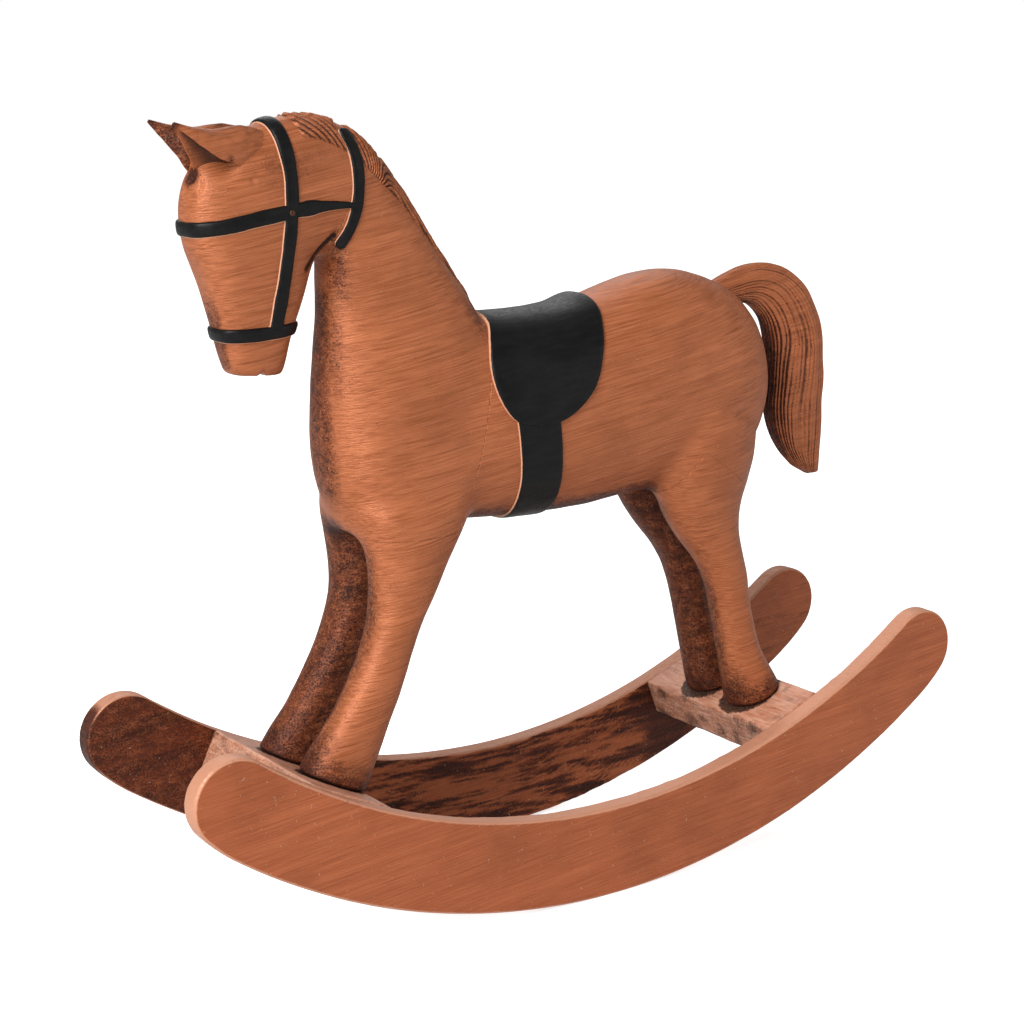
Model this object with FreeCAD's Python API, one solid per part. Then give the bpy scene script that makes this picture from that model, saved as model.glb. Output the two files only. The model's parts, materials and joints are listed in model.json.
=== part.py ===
import FreeCAD, Part
import math
import os

# Rocking horse figurine, carved and glued wood.  Millimetres.
# Head towards -X, tail towards +X, the horse's left side towards -Y, +Z up.
# Origin: on the floor under the middle of the rockers.

Vector = FreeCAD.Vector
SIDES = (("left", -1), ("right", 1))
SIGNS = (-1, 1)
BEYOND = 900.0               # size of a cutting block, larger than the whole horse
BESIDE = 60.0                # clear of the horse on either side of the middle plane
TOUCH = 0.01                 # lengths nearer than this are equal

# ---------------------------------------------------------------- rockers
ROCKER_LENGTH = 300.0        # overall length, tip to tip
ROCKER_BOTTOM_RADIUS = 241.0  # curve that rolls on the floor
ROCKER_MID_DEPTH = 30.0      # depth at the middle
ROCKER_TIP_RADIUS = 13.6     # rounded tips
ROCKER_TIP_Z = 60.3          # height of the tip's centre
ROCKER_HEEL_RADIUS = 60.0    # easing between the bottom curve and the tip
ROCKER_THICK = 7.0
ROCKER_GAP = 64.6            # between the inner faces
ROCKER_EDGE_ROUND = 0.8      # sanded arrises

# ------------------------------------------------------------ cross boards
BOARD_THICK = 13.5
FRONT_BOARD_X = (-106.0, -80.0)
REAR_BOARD_X = (69.5, 92.5)
BOARD_EDGE_ROUND = 0.6

# --------------------------------------------------------- dowels and screws
BOARD_DOWEL_RADIUS = 2.0
BOARD_DOWEL_LENGTH = 13.0
BOARD_DOWEL_IN_ROCKER = 4.5
BOARD_DOWEL_SPACING = 11.0
BODY_DOWEL_RADIUS = 3.0
BODY_DOWEL_LENGTH = 24.0
BODY_DOWEL_SPACING = 26.0
LEG_DOWEL_RADIUS = 2.5
LEG_DOWEL_LENGTH = 24.0
FORELEG_DOWEL = (-58.8, 11.6)  # x, y
HIP_DOWEL_REACH = 16.0       # from the peak of the hip joint down its rear slope
HIP_DOWEL_Y = 12.3
TAIL_PEG_POINT = (76.0, 187.0)
TAIL_PEG_RADIUS = 2.0
TAIL_PEG_LENGTH = 15.0
TAIL_PEG_DIRECTION = Vector(1.0, 0.0, 0.15)
SCREW_RADIUS = 1.5
SCREW_HEAD_RADIUS = 3.0
SCREW_HEAD_DEPTH = 1.6
SCREW_INTO_HOOF = 14.0
FRONT_FOOT = (-90.0, 12.5)   # where a screw meets the upper face of its board: x, y
REAR_FOOT = (81.5, 10.5)

# ------------------------------------------------------------------- body
SMALLEST = 1.0               # cubic mm; anything less is a sliver of a cut
OVAL_POINTS = 20             # points on each lofted cross-section
BODY_POWER = 2.25            # 2 is an ellipse, larger is squarer
ROUND_POWER = 2.0

# The barrel: x, top z, bottom z, half width.
BARREL = (
    (-58.0, 187.0, 123.0, 20.0),
    (-38.0, 188.3, 123.6, 22.4),
    (-14.0, 187.2, 122.2, 24.2),
    (10.0, 189.2, 122.0, 25.2),
    (32.0, 195.0, 124.0, 26.2),
    (52.0, 196.4, 125.5, 26.0),
    (66.0, 192.4, 127.0, 24.0),
    (75.6, 186.2, 131.0, 20.4),
    (82.4, 176.6, 138.6, 14.6),
    (86.0, 167.2, 148.6, 7.0),
)

# Chest, neck and head in one carved line, from the brisket up and over to the muzzle:
# throat point and crest point of each section in the XZ plane, half width, squareness.
FOREHAND = (
    ((-76.0, 116.0), (-37.0, 116.0), 16.4, 2.25),
    ((-81.4, 132.0), (-22.0, 132.0), 20.6, 2.25),
    ((-84.8, 150.0), (-14.0, 150.0), 21.6, 2.25),
    ((-84.9, 168.0), (-14.0, 172.0), 19.6, 2.25),
    ((-84.0, 184.0), (-27.0, 190.0), 15.8, 2.25),
    ((-83.7, 195.0), (-40.8, 205.8), 12.8, 2.25),
    ((-83.8, 202.5), (-50.7, 221.1), 11.4, 2.25),
    ((-83.0, 207.5), (-60.9, 234.7), 10.8, 2.25),
    ((-82.3, 211.0), (-72.0, 245.7), 10.8, 2.3),
    ((-84.5, 210.8), (-86.5, 251.3), 11.0, 2.35),
    ((-86.5, 208.5), (-107.0, 248.8), 11.2, 2.4),
    ((-88.0, 205.0), (-124.0, 238.0), 11.4, 2.5),
    ((-89.8, 200.5), (-127.6, 221.0), 10.9, 2.7),
    ((-92.6, 194.0), (-123.6, 207.0), 9.8, 2.8),
    ((-95.4, 187.0), (-119.6, 193.5), 8.6, 2.8),
    ((-97.0, 180.5), (-117.2, 184.0), 7.8, 2.8),
    ((-98.5, 176.0), (-114.8, 177.0), 6.6, 2.6),
)

# Flat glue faces between the pieces (a point on the face and its slope).
NECK_JOINT_POINT = (-37.0, 160.0)
NECK_JOINT_SLOPE = 78.0      # degrees, leaning back towards the withers
HEAD_JOINT_POINT = (-77.8, 228.0)
HEAD_JOINT_SLOPE = 69.5
FORELEG_JOINT_Z = 124.0
HIP_PEAK = (47.0, 139.0)     # the hind legs end in a shallow gable
HIP_FRONT = (29.0, 112.0)
HIP_REAR_SLOPE = -34.0

# ------------------------------------------------------------------- legs
# Forelegs: x, z, tilt, half length, half width, y of the axis.
FORELEG = (
    (-58.2, 134.0, 0.0, 20.0, 11.8, 11.6),
    (-58.9, 124.0, 0.0, 17.8, 11.4, 11.6),
    (-60.9, 114.0, 0.0, 13.6, 9.8, 12.0),
    (-64.2, 102.0, 0.0, 10.0, 8.6, 12.2),
    (-68.8, 90.0, 0.0, 8.6, 8.0, 12.3),
    (-74.5, 77.0, -8.0, 9.2, 7.8, 12.4),
    (-81.0, 65.0, -14.0, 10.2, 8.0, 12.5),
    (-87.0, 55.0, -20.0, 11.4, 8.8, 12.5),
    (-91.0, 46.0, -24.0, 11.6, 9.2, 12.5),
)

# Hind legs, the same columns.
HINDLEG = (
    (53.8, 152.0, -20.0, 24.0, 13.6, 13.0),
    (53.8, 138.0, -20.0, 22.6, 13.4, 12.9),
    (53.8, 127.0, -14.0, 19.6, 12.4, 12.3),
    (56.0, 116.0, -6.0, 15.4, 10.2, 11.5),
    (61.2, 105.0, 0.0, 10.9, 8.8, 11.1),
    (67.0, 94.0, 0.0, 8.4, 7.9, 10.9),
    (70.6, 82.0, 0.0, 7.4, 7.3, 10.7),
    (74.2, 68.0, 0.0, 7.6, 7.3, 10.6),
    (78.6, 56.0, 8.0, 8.8, 8.6, 10.5),
    (82.0, 48.0, 16.0, 9.8, 9.7, 10.5),
    (84.5, 40.0, 22.0, 10.0, 9.8, 10.5),
)
LEG_POWER = 2.1

# ------------------------------------------------------------- tail, ears
# Tail: x, z, tilt of the section (towards its outer edge), half depth, half width.
TAIL = (
    (66.0, 185.5, 105.0, 4.0, 4.2),
    (77.0, 188.6, 96.0, 5.2, 5.2),
    (88.0, 189.0, 74.0, 7.5, 6.2),
    (98.2, 184.0, 50.0, 10.0, 7.2),
    (105.0, 173.0, 22.0, 11.7, 7.8),
    (107.0, 157.5, 6.0, 12.1, 8.0),
    (107.4, 143.0, 0.0, 11.7, 7.4),
    (110.0, 130.0, -8.0, 9.5, 6.0),
    (114.6, 119.4, -18.0, 4.9, 3.4),
)
TAIL_POWER = 2.2

# Ears: x, y, z, half depth, half width, from the skull to the tip.
EAR = (
    (-108.0, 5.4, 236.0, 10.0, 6.0),
    (-114.0, 6.0, 239.5, 9.4, 6.2),
    (-120.5, 6.6, 243.2, 7.6, 5.6),
    (-127.0, 7.2, 247.0, 4.6, 3.9),
    (-132.0, 7.8, 249.8, 2.0, 1.8),
    (-134.6, 8.0, 251.3, 0.5, 0.5),
)
EAR_TILT = 60.0              # the sections stand square to the ear
EAR_HOLLOW_SCALE = 0.74
EAR_HOLLOW_SHIFT = -4.4      # towards the front of the ear
EAR_HOLLOW_START = 2         # first section of the hollow

# ---------------------------------------------------------- saddle and straps
SADDLE_RISE = 1.2
GIRTH_RISE = 0.9
STRAP_RISE = 0.9
STRAP_WIDTH = 4.4
SIDE_STRAP_END_WIDTH = 2.2
MANE_RISE = 1.2
MANE_HALF_WIDTH = 5.5
RIVET_RADIUS = 1.3
RIVET_LENGTH = 4.0
RIVET_TOP_Y = 12.7           # crown of a stud, from the middle plane

# Saddle seen from the side: down the flap's front edge, round its foot and up the rear edge.
SADDLE_OUTLINE = (
    (-27.0, 204.0), (-28.5, 190.0), (-33.0, 181.0), (-34.6, 172.0), (-32.5, 163.0),
    (-27.5, 157.0), (-19.0, 154.8), (-10.5, 156.0), (-3.6, 159.6), (2.6, 165.8),
    (7.0, 174.5), (11.0, 183.5), (15.0, 191.5), (17.0, 204.0),
)

# Girth seen from the side: top pair then bottom pair.
GIRTH_SIDE = ((-28.0, 160.0), (-12.0, 160.0), (-6.0, 112.0), (-20.5, 112.0))

# Bridle straps seen from the side: points along each centre line.
CHEEK_LINE = ((-103.4, 262.0), (-100.0, 247.0), (-98.4, 233.0), (-99.0, 219.0), (-101.2, 203.0),
              (-103.2, 191.0))
BROW_LINE = ((-134.0, 219.6), (-120.0, 221.2), (-108.0, 223.4), (-99.0, 224.6), (-86.0, 225.6),
             (-74.0, 225.6))
NOSE_LINE = ((-128.0, 189.0), (-108.0, 189.4), (-86.0, 190.4))
THROAT_LINE = ((-78.5, 249.0), (-75.6, 240.0), (-75.6, 230.0), (-77.6, 221.0), (-82.0, 211.0))
THROAT_REACH = (212.0, 246.0)   # lowest and highest point of the throat latch
CROSSING = (-98.8, 224.4)

# Mane: inner limit of the carved strip along the crest, then round outside it.
MANE_OUTLINE = (
    (-96.5, 246.0), (-88.0, 243.0), (-79.0, 238.0), (-69.0, 228.0), (-59.0, 215.0),
    (-48.0, 200.0), (-38.0, 186.0), (-20.0, 196.0), (-45.0, 232.0), (-62.0, 252.0),
    (-96.5, 264.0),
)


def side_point(x, z, y=0.0):
    return Vector(x, y, z)


def oval(centre, tilt, half_long, half_wide, power):
    """Points round a cross-section whose long axis tilts in the XZ plane."""
    along = Vector(math.cos(math.radians(tilt)), 0.0, math.sin(math.radians(tilt)))
    points = []
    for step in range(OVAL_POINTS):
        angle = 2.0 * math.pi * step / OVAL_POINTS
        cos_a = math.cos(angle)
        sin_a = math.sin(angle)
        reach = math.copysign(abs(cos_a) ** (2.0 / power), cos_a)
        width = math.copysign(abs(sin_a) ** (2.0 / power), sin_a)
        offset = along * (half_long * reach) + Vector(0.0, half_wide * width, 0.0)
        points.append(centre + offset)
    return points


def fractions(count):
    return [step / count for step in range(count + 1)]


def skin(sections):
    """Closed solid with one smooth surface drawn through the sections."""
    rings = []
    for points in sections:
        ring = Part.BSplineCurve()
        ring.interpolate(points, PeriodicFlag=True, Parameters=fractions(len(points)))
        rings.append(ring)
    columns = []
    for column in zip(*[ring.getPoles() for ring in rings]):
        line = Part.BSplineCurve()
        line.interpolate(list(column), Parameters=fractions(len(rings) - 1))
        columns.append(line)
    poles = [list(row) for row in zip(*[line.getPoles() for line in columns])]
    surface = Part.BSplineSurface()
    surface.buildFromPolesMultsKnots(
        poles, columns[0].getMultiplicities(), rings[0].getMultiplicities(),
        columns[0].getKnots(), rings[0].getKnots(), False, True,
        columns[0].Degree, rings[0].Degree)
    side = surface.toShape()
    first, last = surface.bounds()[0:2]
    caps = []
    for edge in (surface.uIso(first).toShape(), surface.uIso(last).toShape()):
        caps.append(Part.Face(Part.Wire([edge])))
    shell = Part.makeShell([side] + caps)
    shell.sewShape()
    solid = Part.makeSolid(shell)
    if solid.Volume < 0.0:
        solid.reverse()
    return solid


def barrel_loft(rise=0.0):
    sections = []
    for x, top, bottom, half_width in BARREL:
        centre = Vector(x, 0.0, (top + bottom) / 2.0)
        half_high = (top - bottom) / 2.0 + rise
        sections.append(oval(centre, 90.0, half_high, half_width + rise, BODY_POWER))
    return skin(sections)


def forehand_loft(rise=0.0):
    """Chest, neck and head as one solid, grown outwards by rise."""
    sections = []
    for low, high, half_width, power in FOREHAND:
        run = high[0] - low[0]
        climb = high[1] - low[1]
        half_long = math.hypot(run, climb) / 2.0 + rise
        tilt = math.degrees(math.atan2(climb, run))
        centre = Vector((low[0] + high[0]) / 2.0, 0.0, (low[1] + high[1]) / 2.0)
        sections.append(oval(centre, tilt, half_long, half_width + rise, power))
    return skin(sections)


def limb_loft(stations, side):
    """One leg; side is -1 for the left and +1 for the right."""
    sections = []
    for x, z, tilt, half_long, half_wide, offset in stations:
        centre = Vector(x, side * offset, z)
        sections.append(oval(centre, tilt, half_long, half_wide, LEG_POWER))
    return skin(sections)


def slab(point, tilt):
    """Half space above a plane square to XZ; the plane climbs at tilt degrees."""
    block = Part.makeBox(BEYOND, BEYOND, BEYOND, Vector(-BEYOND / 2.0, -BEYOND / 2.0, 0.0))
    block.rotate(Vector(0, 0, 0), Vector(0, 1, 0), -tilt)
    block.translate(side_point(point[0], point[1]))
    return block


def side_prism(points, half_width=BESIDE):
    """Straight-sided outline in XZ pushed right through the horse along Y."""
    corners = [side_point(x, z, -half_width) for x, z in points]
    face = Part.Face(Part.makePolygon(corners + corners[:1]))
    return face.extrude(Vector(0.0, 2.0 * half_width, 0.0))


def smooth_edge(points):
    curve = Part.BSplineCurve()
    curve.interpolate(points)
    return curve.toShape()


def side_shape(edges):
    """Outline in XZ given by edges, pushed right through the horse along Y."""
    face = Part.Face(Part.Wire(edges))
    face.translate(Vector(0.0, -BESIDE, 0.0))
    return face.extrude(Vector(0.0, 2.0 * BESIDE, 0.0))


def band_prism(line, start_width, end_width):
    """A strap seen from the side: a smooth band along a centre line."""
    points = [side_point(x, z) for x, z in line]
    left = []
    right = []
    for index, point in enumerate(points):
        ahead = points[min(index + 1, len(points) - 1)]
        behind = points[max(index - 1, 0)]
        along = (ahead - behind).normalize()
        across = Vector(-along.z, 0.0, along.x)
        share = index / (len(points) - 1)
        half = (start_width + (end_width - start_width) * share) / 2.0
        left.append(point + across * half)
        right.append(point - across * half)
    right.reverse()
    return side_shape([smooth_edge(left), Part.makeLine(left[-1], right[0]),
                       smooth_edge(right), Part.makeLine(right[-1], left[0])])


def rod(centre, direction, radius, length):
    """Round pin centred on a point."""
    axis = Vector(direction).normalize()
    return Part.makeCylinder(radius, length, centre - axis * (length / 2.0), axis)


def one_side(side):
    """Everything on one side of the middle plane."""
    corner_y = 0.0 if side > 0 else -BEYOND
    return Part.makeBox(BEYOND, BEYOND, BEYOND, Vector(-BEYOND / 2.0, corner_y, -BEYOND / 2.0))


def cut_all(shape, tools):
    for tool in tools:
        shape = shape.cut(tool)
    return shape


def biggest_solid(shape):
    return max(shape.Solids, key=lambda solid: solid.Volume)


# ------------------------------------------------------------------ rockers
TIP_X = ROCKER_LENGTH / 2.0 - ROCKER_TIP_RADIUS
TIP_DROP = ROCKER_TIP_Z - ROCKER_MID_DEPTH
# the upper edge is one arc through the middle depth that runs into both tips
ROCKER_TOP_RADIUS = ((TIP_X ** 2 + TIP_DROP ** 2 - ROCKER_TIP_RADIUS ** 2)
                     / (2.0 * (TIP_DROP + ROCKER_TIP_RADIUS)))
ROCKER_TOP_CENTRE_Z = ROCKER_MID_DEPTH + ROCKER_TOP_RADIUS


def rocker_top_z(x):
    return ROCKER_TOP_CENTRE_Z - math.sqrt(ROCKER_TOP_RADIUS ** 2 - x ** 2)


def point_from(centre, through, reach):
    """The point at a distance from centre, in the direction of another point."""
    run = through[0] - centre[0]
    climb = through[1] - centre[1]
    gap = math.hypot(run, climb)
    return centre[0] + run / gap * reach, centre[1] + climb / gap * reach


def heel_centre():
    """Centre of the easing arc that touches the bottom curve and the tip from inside."""
    bottom_reach = ROCKER_BOTTOM_RADIUS - ROCKER_HEEL_RADIUS
    tip_reach = ROCKER_HEEL_RADIUS - ROCKER_TIP_RADIUS
    run = TIP_X
    climb = ROCKER_TIP_Z - ROCKER_BOTTOM_RADIUS
    gap = math.hypot(run, climb)
    along = (bottom_reach ** 2 - tip_reach ** 2 + gap ** 2) / (2.0 * gap)
    aside = math.sqrt(max(bottom_reach ** 2 - along ** 2, 0.0))
    x = (run * along + climb * aside) / gap
    z = ROCKER_BOTTOM_RADIUS + (climb * along - run * aside) / gap
    return x, z


def mirrored(points):
    return [(-x, z) for x, z in reversed(points)]


def rocker(side):
    """One runner: bottom curve, eased heels, rounded tips and upper curve."""
    tip = (TIP_X, ROCKER_TIP_Z)
    heel = heel_centre()
    bottom_centre = (0.0, ROCKER_BOTTOM_RADIUS)
    top_centre = (0.0, ROCKER_TOP_CENTRE_Z)
    heel_start = point_from(bottom_centre, heel, ROCKER_BOTTOM_RADIUS)
    heel_end = point_from(heel, tip, ROCKER_HEEL_RADIUS)
    heel_mid = point_from(heel, ((heel_start[0] + heel_end[0]) / 2.0,
                                 (heel_start[1] + heel_end[1]) / 2.0), ROCKER_HEEL_RADIUS)
    tip_end = point_from(tip, top_centre, ROCKER_TIP_RADIUS)
    tip_mid = point_from(tip, (tip[0] + 1.0, tip[1] + 1.0), ROCKER_TIP_RADIUS)
    right_end = [(heel_start, heel_mid, heel_end), (heel_end, tip_mid, tip_end)]
    arcs = [(mirrored([heel_start])[0], (0.0, 0.0), heel_start)]
    arcs += right_end
    arcs.append((tip_end, (0.0, ROCKER_MID_DEPTH), mirrored([tip_end])[0]))
    arcs += [tuple(mirrored(list(arc))) for arc in reversed(right_end)]
    inner = side * ROCKER_GAP / 2.0
    edges = []
    for arc in arcs:
        corners = [side_point(x, z, inner) for x, z in arc]
        edges.append(Part.Arc(*corners).toShape())
    plank = Part.Face(Part.Wire(edges)).extrude(Vector(0.0, side * ROCKER_THICK, 0.0))
    return plank.makeFillet(ROCKER_EDGE_ROUND, plank.Edges)


# ------------------------------------------------------------- cross boards
def board_ends(x_range):
    """The two long edges of the upper face, where they meet the middle plane."""
    return [side_point(x, rocker_top_z(x)) for x in x_range]


def board_up(low, high):
    """Direction square to the upper face."""
    along = (high - low).normalize()
    return Vector(-along.z, 0.0, along.x)


def cross_board(x_range):
    low, high = board_ends(x_range)
    drop = board_up(low, high) * BOARD_THICK
    corners = [low, high, high - drop, low - drop]
    board = side_prism([(corner.x, corner.z) for corner in corners], ROCKER_GAP / 2.0)
    long_edges = [edge for edge in board.Edges if abs(edge.Length - ROCKER_GAP) < TOUCH]
    return board.makeFillet(BOARD_EDGE_ROUND, long_edges)


def board_dowels(x_range, side):
    """Two blind pins that hold one end of a board to its rocker."""
    low, high = board_ends(x_range)
    middle = (low + high) * 0.5 - board_up(low, high) * (BOARD_THICK / 2.0)
    middle.y = side * (ROCKER_GAP / 2.0 + BOARD_DOWEL_IN_ROCKER - BOARD_DOWEL_LENGTH / 2.0)
    half_space = (high - low).normalize() * (BOARD_DOWEL_SPACING / 2.0)
    pins = []
    for centre in (middle - half_space, middle + half_space):
        pins.append(rod(centre, Vector(0, 1, 0), BOARD_DOWEL_RADIUS, BOARD_DOWEL_LENGTH))
    return pins


def above_board(x_range):
    """Everything over the plane of a board's upper face."""
    low, high = board_ends(x_range)
    climb = math.degrees(math.atan2(high.z - low.z, high.x - low.x))
    return slab((low.x, low.z), climb)


def hoof_screw(x_range, foot_x, foot_y):
    """Countersunk screw from under a board, up into one hoof."""
    low, high = board_ends(x_range)
    up = board_up(low, high)
    top = low + (high - low) * ((foot_x - low.x) / (high.x - low.x)) + Vector(0.0, foot_y, 0.0)
    under = top - up * BOARD_THICK
    shank = Part.makeCylinder(SCREW_RADIUS, BOARD_THICK + SCREW_INTO_HOOF, under, up)
    head = Part.makeCone(SCREW_HEAD_RADIUS, SCREW_RADIUS, SCREW_HEAD_DEPTH, under, up)
    return shank.fuse(head).removeSplitter()


# ------------------------------------------------------------- wooden horse
def hip_gable():
    """The space of the hind legs: under a peak with a front and a rear slope."""
    rear_x = HIP_PEAK[0] + BESIDE
    rear_z = HIP_PEAK[1] + math.tan(math.radians(HIP_REAR_SLOPE)) * BESIDE
    return side_prism([HIP_FRONT, HIP_PEAK, (rear_x, rear_z), (rear_x, 0.0), (HIP_FRONT[0], 0.0)])


def wooden_blocks():
    """Barrel, chest with neck, and head, parted by flat glue faces.

    The tops of the legs are carved across the glue lines, so the blocks carry them on.
    """
    behind_neck_joint = slab(NECK_JOINT_POINT, NECK_JOINT_SLOPE - 180.0)
    before_head_joint = slab(HEAD_JOINT_POINT, HEAD_JOINT_SLOPE)
    brisket_up = slab((0.0, FORELEG_JOINT_Z), 0.0)
    shoulders = [limb_loft(FORELEG, side).common(brisket_up) for side in SIGNS]
    thighs = [limb_loft(HINDLEG, side) for side in SIGNS]
    barrel = barrel_loft().multiFuse(thighs).cut(hip_gable())
    barrel = barrel.multiFuse(shoulders).common(behind_neck_joint)
    forehand = forehand_loft().common(brisket_up).multiFuse(shoulders).cut(behind_neck_joint)
    return {
        "barrel": biggest_solid(barrel),
        "chest_and_neck": biggest_solid(forehand.cut(before_head_joint)),
        "head": biggest_solid(forehand.common(before_head_joint)),
    }


def wooden_legs():
    brisket_up = slab((0.0, FORELEG_JOINT_Z), 0.0)
    over_front_board = above_board(FRONT_BOARD_X)
    over_rear_board = above_board(REAR_BOARD_X)
    under_hip = hip_gable()
    legs = {}
    for name, side in SIDES:
        own_side = one_side(side)
        fore = limb_loft(FORELEG, side).cut(brisket_up).common(over_front_board)
        hind = limb_loft(HINDLEG, side).common(under_hip).common(over_rear_board)
        legs["foreleg_" + name] = biggest_solid(fore.common(own_side))
        legs["hindleg_" + name] = biggest_solid(hind.common(own_side))
    return legs


def wooden_tail(barrel):
    sections = []
    for x, z, tilt, half_long, half_wide in TAIL:
        sections.append(oval(Vector(x, 0.0, z), tilt, half_long, half_wide, TAIL_POWER))
    return biggest_solid(skin(sections).cut(barrel))


def wooden_ear(side, head):
    """A pointed cone with a hollow that opens forwards."""
    outer = []
    inner = []
    tilt = math.radians(EAR_TILT)
    shift = Vector(math.cos(tilt), 0.0, math.sin(tilt)) * EAR_HOLLOW_SHIFT
    for x, y, z, half_long, half_wide in EAR:
        centre = Vector(x, side * y, z)
        outer.append(oval(centre, EAR_TILT, half_long, half_wide, ROUND_POWER))
        centre += shift * (half_long / EAR[0][3])
        inner.append(oval(centre, EAR_TILT, half_long * EAR_HOLLOW_SCALE,
                          half_wide * EAR_HOLLOW_SCALE, ROUND_POWER))
    ear = skin(outer).cut(head).common(one_side(side))
    return biggest_solid(ear.cut(skin(inner[EAR_HOLLOW_START:])))


def saddle_and_girth(chest_and_neck):
    """The raised saddle with its round flaps, and the girth under it."""
    barrel = barrel_loft()
    outline = [side_point(x, z) for x, z in SADDLE_OUTLINE]
    saddle_side = side_shape([smooth_edge(outline), Part.makeLine(outline[-1], outline[0])])
    saddle = barrel_loft(SADDLE_RISE).cut(barrel).common(saddle_side)
    saddle = biggest_solid(saddle.cut(chest_and_neck))
    girth = barrel_loft(GIRTH_RISE).cut(barrel).common(side_prism(GIRTH_SIDE))
    girth = biggest_solid(cut_all(girth, [chest_and_neck, saddle]))
    return saddle, girth


def mane_strip():
    """A raised strip along the crest, from the poll to the withers."""
    strip = Part.makeBox(BEYOND, 2.0 * MANE_HALF_WIDTH, BEYOND,
                         Vector(-BEYOND / 2.0, -MANE_HALF_WIDTH, 0.0))
    mane = forehand_loft(MANE_RISE).cut(forehand_loft()).common(side_prism(MANE_OUTLINE))
    behind_neck_joint = slab(NECK_JOINT_POINT, NECK_JOINT_SLOPE - 180.0)
    return biggest_solid(mane.common(strip).cut(behind_neck_joint))


def bridle(mane):
    """Crown strap with cheek pieces, browband, noseband and throat latch."""
    shell = forehand_loft(STRAP_RISE).cut(forehand_loft())
    nose = biggest_solid(shell.common(band_prism(NOSE_LINE, STRAP_WIDTH, STRAP_WIDTH)))
    crown = shell.common(band_prism(CHEEK_LINE, STRAP_WIDTH, STRAP_WIDTH)).cut(nose)
    crown = biggest_solid(crown)
    throat = shell.common(band_prism(THROAT_LINE, STRAP_WIDTH, STRAP_WIDTH)).cut(mane)
    window = Part.makeBox(BEYOND, BEYOND, THROAT_REACH[1] - THROAT_REACH[0],
                          Vector(-BEYOND / 2.0, -BEYOND / 2.0, THROAT_REACH[0]))
    throat = Part.makeCompound([part for part in throat.common(window).Solids
                                if part.Volume > SMALLEST])
    brow = shell.common(band_prism(BROW_LINE, STRAP_WIDTH, SIDE_STRAP_END_WIDTH))
    brow = brow.cut(crown).cut(throat)
    front = biggest_solid(brow)
    sides = [solid for solid in brow.Solids if not solid.isSame(front) and solid.Volume > SMALLEST]
    return {
        "crown_strap": crown,
        "browband": front,
        "side_straps": Part.makeCompound(sides),
        "noseband": nose,
        "throat_latch": throat,
    }


def strap_rivets(covers):
    """A small round stud on each strap crossing."""
    rivets = []
    for side in SIGNS:
        inner = side_point(CROSSING[0], CROSSING[1], side * (RIVET_TOP_Y - RIVET_LENGTH))
        stud = Part.makeCylinder(RIVET_RADIUS, RIVET_LENGTH, inner, Vector(0.0, side, 0.0))
        rivets.append(biggest_solid(cut_all(stud, covers)))
    return Part.makeCompound(rivets)


# ------------------------------------------------------------- hidden pins
def slope_vectors(slope):
    """Directions along a joint line and square to it, in the XZ plane."""
    run = math.cos(math.radians(slope))
    climb = math.sin(math.radians(slope))
    return Vector(run, 0.0, climb), Vector(-climb, 0.0, run)


def neck_dowels():
    along, square = slope_vectors(NECK_JOINT_SLOPE)
    middle = side_point(*NECK_JOINT_POINT)
    pins = []
    for shift in (-0.5, 0.5):
        centre = middle + along * (shift * BODY_DOWEL_SPACING)
        pins.append(rod(centre, square, BODY_DOWEL_RADIUS, BODY_DOWEL_LENGTH))
    return pins


def head_dowel():
    square = slope_vectors(HEAD_JOINT_SLOPE)[1]
    return [rod(side_point(*HEAD_JOINT_POINT), square, BODY_DOWEL_RADIUS, BODY_DOWEL_LENGTH)]


def foreleg_dowels():
    x, y = FORELEG_DOWEL
    pins = []
    for side in SIGNS:
        centre = Vector(x, side * y, FORELEG_JOINT_Z)
        pins.append(rod(centre, Vector(0, 0, 1), LEG_DOWEL_RADIUS, LEG_DOWEL_LENGTH))
    return pins


def hindleg_dowels():
    along, square = slope_vectors(HIP_REAR_SLOPE)
    middle = side_point(*HIP_PEAK) + along * HIP_DOWEL_REACH
    pins = []
    for side in SIGNS:
        centre = middle + Vector(0.0, side * HIP_DOWEL_Y, 0.0)
        pins.append(rod(centre, square, LEG_DOWEL_RADIUS, LEG_DOWEL_LENGTH))
    return pins


def tail_peg():
    return [rod(side_point(*TAIL_PEG_POINT), TAIL_PEG_DIRECTION, TAIL_PEG_RADIUS, TAIL_PEG_LENGTH)]


# -------------------------------------------------------------------- model
def drill(nodes, names, pins):
    """Bore the named pieces for the pins."""
    for name in names:
        nodes[name] = cut_all(nodes[name], pins)


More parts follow.
